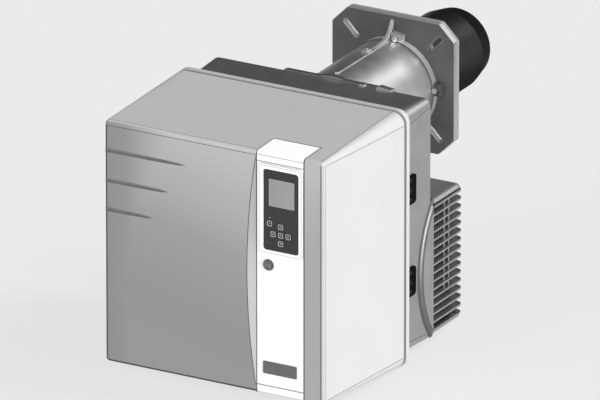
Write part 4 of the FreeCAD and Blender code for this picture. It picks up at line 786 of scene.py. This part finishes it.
# Keys: dark rubber caps that are pressed 1 mm into the panel. A light ring is printed round each and
# a small mark in its middle, which moves with its key: a dot, four arrows and a tick.
KEY_FACE = -623.5
KEY_HALF = 5.0
MARK_RISE = 0.2
KEY_PLACES = {
    "mode": (90.7, -41.8), "up": (112.7, -45.1), "down": (112.7, -75.9), "left": (97.7, -60.5),
    "right": (127.7, -60.5), "ok": (112.7, -60.5),
}
ARROW = np.array([(-2.0, -1.3), (2.0, -1.3), (0.0, 2.0)])
TICK = np.array([(-2.2, 0.2), (-0.6, -1.8), (2.3, 1.7), (1.6, 2.3), (-0.6, -0.2), (-1.5, 0.8)])
ARROW_TURNS = {"up": 0, "left": 90, "down": 180, "right": 270}
for key, (x, z) in KEY_PLACES.items():
    if key in ARROW_TURNS:
        angle = math.radians(ARROW_TURNS[key])
        mark = ARROW @ [[math.cos(angle), math.sin(angle)], [-math.sin(angle), math.cos(angle)]]
    elif key == "mode":
        mark = circle(0.0, 0.0, 1.2, 0.0, 12)[:, ::2]
    else:
        mark = TICK
    solid("key_print_" + key, [
        band(x - KEY_HALF, x + KEY_HALF, z - KEY_HALF, z + KEY_HALF, 1.9, 1.3, KEY_FACE, 0.22),
        ([line_points(x + mark[:, 0], y, z + mark[:, 1])
          for y in (KEY_FACE + FRAME_SUNK, KEY_FACE - MARK_RISE)], False),
    ], light_print, "key_" + key)

# Lock screw: turned steel with a wide slot, screwed through the hood into its post. The head is two
# half-discs on a thin disc, with the slot between them, and stands in a round recess.
LOCK_X, LOCK_Z = 87.5, -120.0
HEAD_TOP = -623.9
SLOT_LEAN = math.radians(80)
RING_RATE = 9000.0
lock = Sheet("lock_steel", Metallic=1.0)
from_middle = lock.node("ShaderNodeVectorMath", {"operation": "DISTANCE"}, {
    0: lock.place(), 1: (LOCK_X / 1000, HEAD_TOP / 1000, LOCK_Z / 1000),
}, out=1)
# Painted sheen: the head is lighter at its middle and darker outwards.
lock.set(Base_Color=lock.ramp(from_middle * 100.0, (0.2, 0.26), (0.9, 0.15)),
         Roughness=lock.patches(0.3, 0.45, 0.0015, 3.0))
tool_rings = lock.node("ShaderNodeMath", {"operation": "SINE"}, {0: from_middle * RING_RATE})
lock.bump(tool_rings, 0.00004, 0.4)


def half_disc(side, radius, y):
    """The part of a circle round the screw on one side of the slot, turned with it: the angles from
    8 to 172 degrees of its own half."""
    turn = np.radians(np.linspace(8, 172, 24))
    along, out = radius * np.cos(turn), side * radius * np.sin(turn)
    return line_points(
        LOCK_X + along * math.cos(SLOT_LEAN) - out * math.sin(SLOT_LEAN), y,
        LOCK_Z + along * math.sin(SLOT_LEAN) + out * math.cos(SLOT_LEAN))


solid("lock_screw", [([
    circle(LOCK_X, LOCK_Z, radius, y, 36)
    for radius, y in ((4.0, -562.0), (4.0, -621.9), (9.9, -621.9), (9.9, -622.7))
], False)] + [([
    half_disc(side, radius, y) for radius, y in ((10.0, -622.6), (10.0, -623.6), (9.6, HEAD_TOP))
], False) for side in (1, -1)], lock, "lock_screw", stands_for=("hood_lock_screw",))
solid("lock_recess", [([
    circle(LOCK_X, LOCK_Z, radius, y, 36)
    for radius, y in ((9.0, -621.4), (10.5, -621.4), (10.5, -621.7), (10.3, -621.85), (9.0, -621.85))
], True)], joint, "hood")

# Name plate: a bare plate of dark anodised aluminium at the foot of the column, brushed across, with
# a raised rim.
plate = Sheet("plate_grey", Metallic=0.5)
plate.set(Base_Color=plate.patches(0.13, 0.15, 0.01),
          Roughness=plate.patches(0.3, 0.45, 0.001, 2.0, (60.0, 1.0, 1.0)))
plate.dress("name_plate")
solid("plate_rim", [band(77.6, 143.4, -322.4, -300.6, 1.6, 0.9, -622.8, 0.2)],
      plate, "hood")

# Rubber parts: the cable grommets are pressed into notches of the housing's right wall, the seal lies
# round its front edge, and the ignition leads are covered with it. The grommets' domes are paler.
DOME_START = 201.4
rubber = Sheet("rubber", Roughness=0.6, IOR=1.06)
on_dome = rubber.axes()[0] > DOME_START / 1000
rubber.set(Base_Color=on_dome * 0.015 + rubber.patches(0.002, 0.004, 0.004, 3.0))
rubber.grain(0.001, 0.3)
rubber.dress("cable_grommets", "hood_seal", "ignition_leads")

# Sheet parts: the fan wheel, inlet cone, equipment plate, damper flap, diffuser and electrode clamp
# and the bearings' shields are pressed or spun from zinc-plated steel sheet with a faint spangle.
sheet_steel = Sheet("sheet_steel", Metallic=1.0)
sheet_steel.set(Base_Color=sheet_steel.patches(0.42, 0.52, 0.02),
                Roughness=sheet_steel.patches(0.3, 0.45, 0.004, 3.0))
sheet_steel.dress("inlet_cone", "fan_wheel", "motor_bearings", "equipment_plate", "diffuser_plate",
                  "electrode_clamp", "damper_flap")

# Motor: a cast frame under dark stove enamel, with cooling ribs along it that stay clear of the
# terminal box. Inside it are stacks of blued core sheets, pressed onto the shaft and into the frame.
enamel = Sheet("motor_paint", Roughness=0.4)
enamel.set(Base_Color=enamel.patches(0.022, 0.030, 0.02, 3.0))
enamel.grain(0.001, 0.4)
enamel.dress("motor_frame")
core = Sheet("core_steel", Metallic=0.9, Roughness=0.42)
stacked = core.noise(0.0005, 1.0, (200.0, 1.0, 200.0))
core.set(Base_Color=core.ramp(stacked, (0.35, 0.16), (0.65, 0.30)))
core.bump(stacked, 0.0001, 0.5)
core.dress("motor_stator", "motor_rotor")
MOTOR_X, MOTOR_Z = -45.0, -205.0
RIB_FRONT, RIB_BACK = -484.0, -374.0
ribs = []
for angle in np.radians(np.arange(-225, 50, 11)):
    out = np.array([math.cos(angle), 0.0, math.sin(angle)])
    aside = np.array([-math.sin(angle), 0.0, math.cos(angle)])
    ribs.append(([
        line_points(MOTOR_X, [RIB_FRONT, RIB_FRONT, RIB_BACK, RIB_BACK], MOTOR_Z) + out * radius
        + aside * half * np.array([[-1], [1], [1], [-1]]) for radius, half in ((57.0, 1.6), (61.5, 1.0))
    ], False))
solid("motor_ribs", ribs, enamel, "burner")

# Moulded parts of motor, pump, ignition and damper drive: black plastic with a fine spark grain, each
# held by its own screws or clips.
moulded = Sheet("black_plastic", Roughness=0.45)
moulded.set(Base_Color=moulded.patches(0.012, 0.018, 0.02))
moulded.grain(0.0007, 0.5)
moulded.dress("motor_terminal_box", "pump_coupling", "solenoid_valve", "ignition_transformer",
              "control_base", "flame_sensor", "damper_servomotor", "adjusting_screw")


# Ignition transformer: cooling ribs are moulded all round its block, and four plated screws hold its
# front cover.
def hoop(low_x, high_x, low_z, high_z, radius, front, back, proud=1.0, sunk=0.5):
    """A closed band round a box: rounded rectangles at front and back, proud of it, on sunk ones."""
    out = [low_x - proud, high_x + proud, low_z - proud, high_z + proud, radius + proud]
    deep = [low_x + sunk, high_x - sunk, low_z + sunk, high_z - sunk, radius - sunk]
    return [rounded(*out, front), rounded(*out, back), rounded(*deep, back), rounded(*deep, front)], True


def knob(x, z, steps, count=24):
    """A turned knob on the front at x, z: circles of the radii at the depths of steps."""
    return [circle(x, z, radius, y, count) for radius, y in steps], False


solid("transformer_ribs", [
    hoop(-38, 38, 17, 72, 3, y, y + 4.0, 1.1) for y in (-431, -420, -409, -398, -387, -376, -365)
], moulded, "burner", bevel=0.4)
solid("transformer_screws", [
    knob(x, z, ((3.2, -439.5), (3.2, -441.6), (2.4, -442.2))) for x in (-31, 31) for z in (24, 65)
], zinc, "burner")

# Damper drive: its case stands on the equipment plate, with a collar round it, and has a scale disc
# with a pointer, two cover screws and a cable entry on its front.
COVER_SCREW = ((3.0, -431.5), (3.0, -433.6), (2.2, -434.2))
solid("servo_trim", [
    hoop(83, 147, -275, -195, 4, -385.0, -382.0, 0.9),
    knob(115.0, -226.0, ((21.0, -431.5), (21.0, -433.6), (19.8, -434.4), (12.0, -434.4), (11.0, -437.0))),
    knob(100.0, -266.0, ((6.5, -431.5), (6.5, -437.0), (5.0, -437.0), (5.0, -440.0))),
], moulded, "burner", bevel=0.3)
solid("servo_marks", [
    ([line_points([113.6, 116.4, 115.4, 114.6], y, [-224.0, -224.0, -207.5, -207.5])
      for y in (-434.2, -434.9)], False),
    knob(90.0, -202.0, COVER_SCREW), knob(140.0, -268.0, COVER_SCREW),
], zinc, "burner")

# Control unit: a moulded grey cover that fits over its base, with a window for the signal lamp, a
# round reset button of red plastic and ribs round its sides for the grip.
BUTTON_X, BUTTON_Z = -110.0, 12.0
control = Sheet("control_grey", Roughness=0.4)
control.set(Base_Color=control.patches(0.030, 0.040, 0.03))
control.grain(0.0007, 0.4)
control.dress("control_unit")
solid("control_trim", [
    hoop(-212, -84, -56, 46, 4, -378.0, -375.0, 1.2),
    band(-206.0, -90.0, -50.0, 40.0, 5.0, 1.4, -432.0, 0.8),
    band(-200.0, -136.0, -8.0, 32.0, 3.0, 1.2, -432.0, 0.8),
    knob(BUTTON_X, BUTTON_Z, ((15.0, -431.5), (15.0, -433.4), (13.8, -434.0))),
] + [hoop(-212, -84, -56, 46, 4, y, y + 1.6, 0.6) for y in (-424, -418, -412, -406, -400)],
      control, "burner", bevel=0.3)


def tinted(sheet, deep, pale, share):
    """A mix of two colours: deep where share is 0, pale where it is 1."""
    return sheet.node("ShaderNodeMix", {"data_type": "RGBA"}, {
        0: share, 6: (*deep, 1.0), 7: (*pale, 1.0),
    }, out=2)


button = Sheet("reset_button", Roughness=0.25, Coat_Weight=0.4)
button.set(Base_Color=tinted(
    button, (0.20, 0.012, 0.010), (0.30, 0.020, 0.016), button.patches(0.0, 1.0, 0.01)))
solid("reset_button", [
    knob(BUTTON_X, BUTTON_Z, ((10.5, -433.0), (10.5, -436.0), (9.0, -437.2), (5.0, -437.8))),
], button, "burner")

# Oil pump: a grey pressure die casting, flanged to its adapter. Its cover's screws and the pressure
# plug are of plated steel, with six flats.
pump = Sheet("pump_zinc", Metallic=0.6, Roughness=0.5)
pump.set(Base_Color=pump.patches(0.20, 0.28, 0.015, 4.0))
pump.grain(0.0012, 0.5)
pump.dress("oil_pump")
solid("pump_screws", [
    knob(x, z, ((3.4, -582.5), (3.4, -585.6), (2.6, -586.2)), 6) for x in (-69, -21) for z in (-231, -179)
] + [knob(-45.0, -196.0, ((6.0, -582.5), (6.0, -586.0), (5.0, -587.0)), 6)], zinc, "burner")

# Oil pipe: drawn copper, bent and fixed with union nuts between the valve and the nozzle line. The
# air has dulled it in patches.
copper = Sheet("copper", Metallic=1.0, Roughness=0.3)
copper.set(Base_Color=tinted(copper, (0.30, 0.12, 0.06), (0.62, 0.30, 0.18), copper.ramp(
    copper.noise(0.02, 4.0), (0.35, 0.0), (0.65, 1.0))))
copper.dress("oil_pipe")

# Nozzle line: its guide, pipe, holder and nozzle are turned from brass rod and screwed together, and
# fine tool marks run round them.
brass = Sheet("brass", Metallic=1.0)
brass.set(
    Base_Color=tinted(brass, (0.42, 0.30, 0.12), (0.66, 0.50, 0.24), brass.patches(0.0, 1.0, 0.015, 4.0)),
    Roughness=brass.patches(0.22, 0.38, 0.0006, 2.0, (30.0, 1.0, 30.0)))
brass.dress("nozzle_line_guide", "nozzle_pipe", "nozzle_holder", "nozzle")

# Ignition electrodes: their insulators are fired porcelain with an even glaze, held by the clamp on
# the nozzle pipe.
porcelain = Sheet("porcelain", Roughness=0.35)
porcelain.set(Base_Color=tinted(
    porcelain, (0.72, 0.69, 0.60), (0.86, 0.84, 0.78), porcelain.patches(0.0, 1.0, 0.006, 3.0)))
porcelain.dress("ignition_electrodes")

# Hood lining: a mat of open-cell foam, glued inside the hood to quieten the fan, with the bubbled
# skin of its cells.
foam = Sheet("foam", Roughness=0.95, Specular_IOR_Level=0.1)
cells = foam.node("ShaderNodeTexVoronoi", None, {"Vector": foam.place(), "Scale": 260.0})
# Painted shade: the hollows of the cells are darker.
foam.set(Base_Color=foam.ramp(cells, (0.1, 0.004), (0.6, 0.020)))
foam.bump(cells, 0.002, 0.8)
foam.dress("hood_foam")

# Display board: green laminate behind the keys, fixed inside the hood, which shows only with the hood
# off.
board = Sheet("board", Roughness=0.35)
board.set(Base_Color=tinted(board, (0.01, 0.06, 0.025), (0.02, 0.11, 0.045), board.ramp(
    board.noise(0.004, 3.0), (0.4, 0.0), (0.6, 1.0))))
board.dress("display_board")
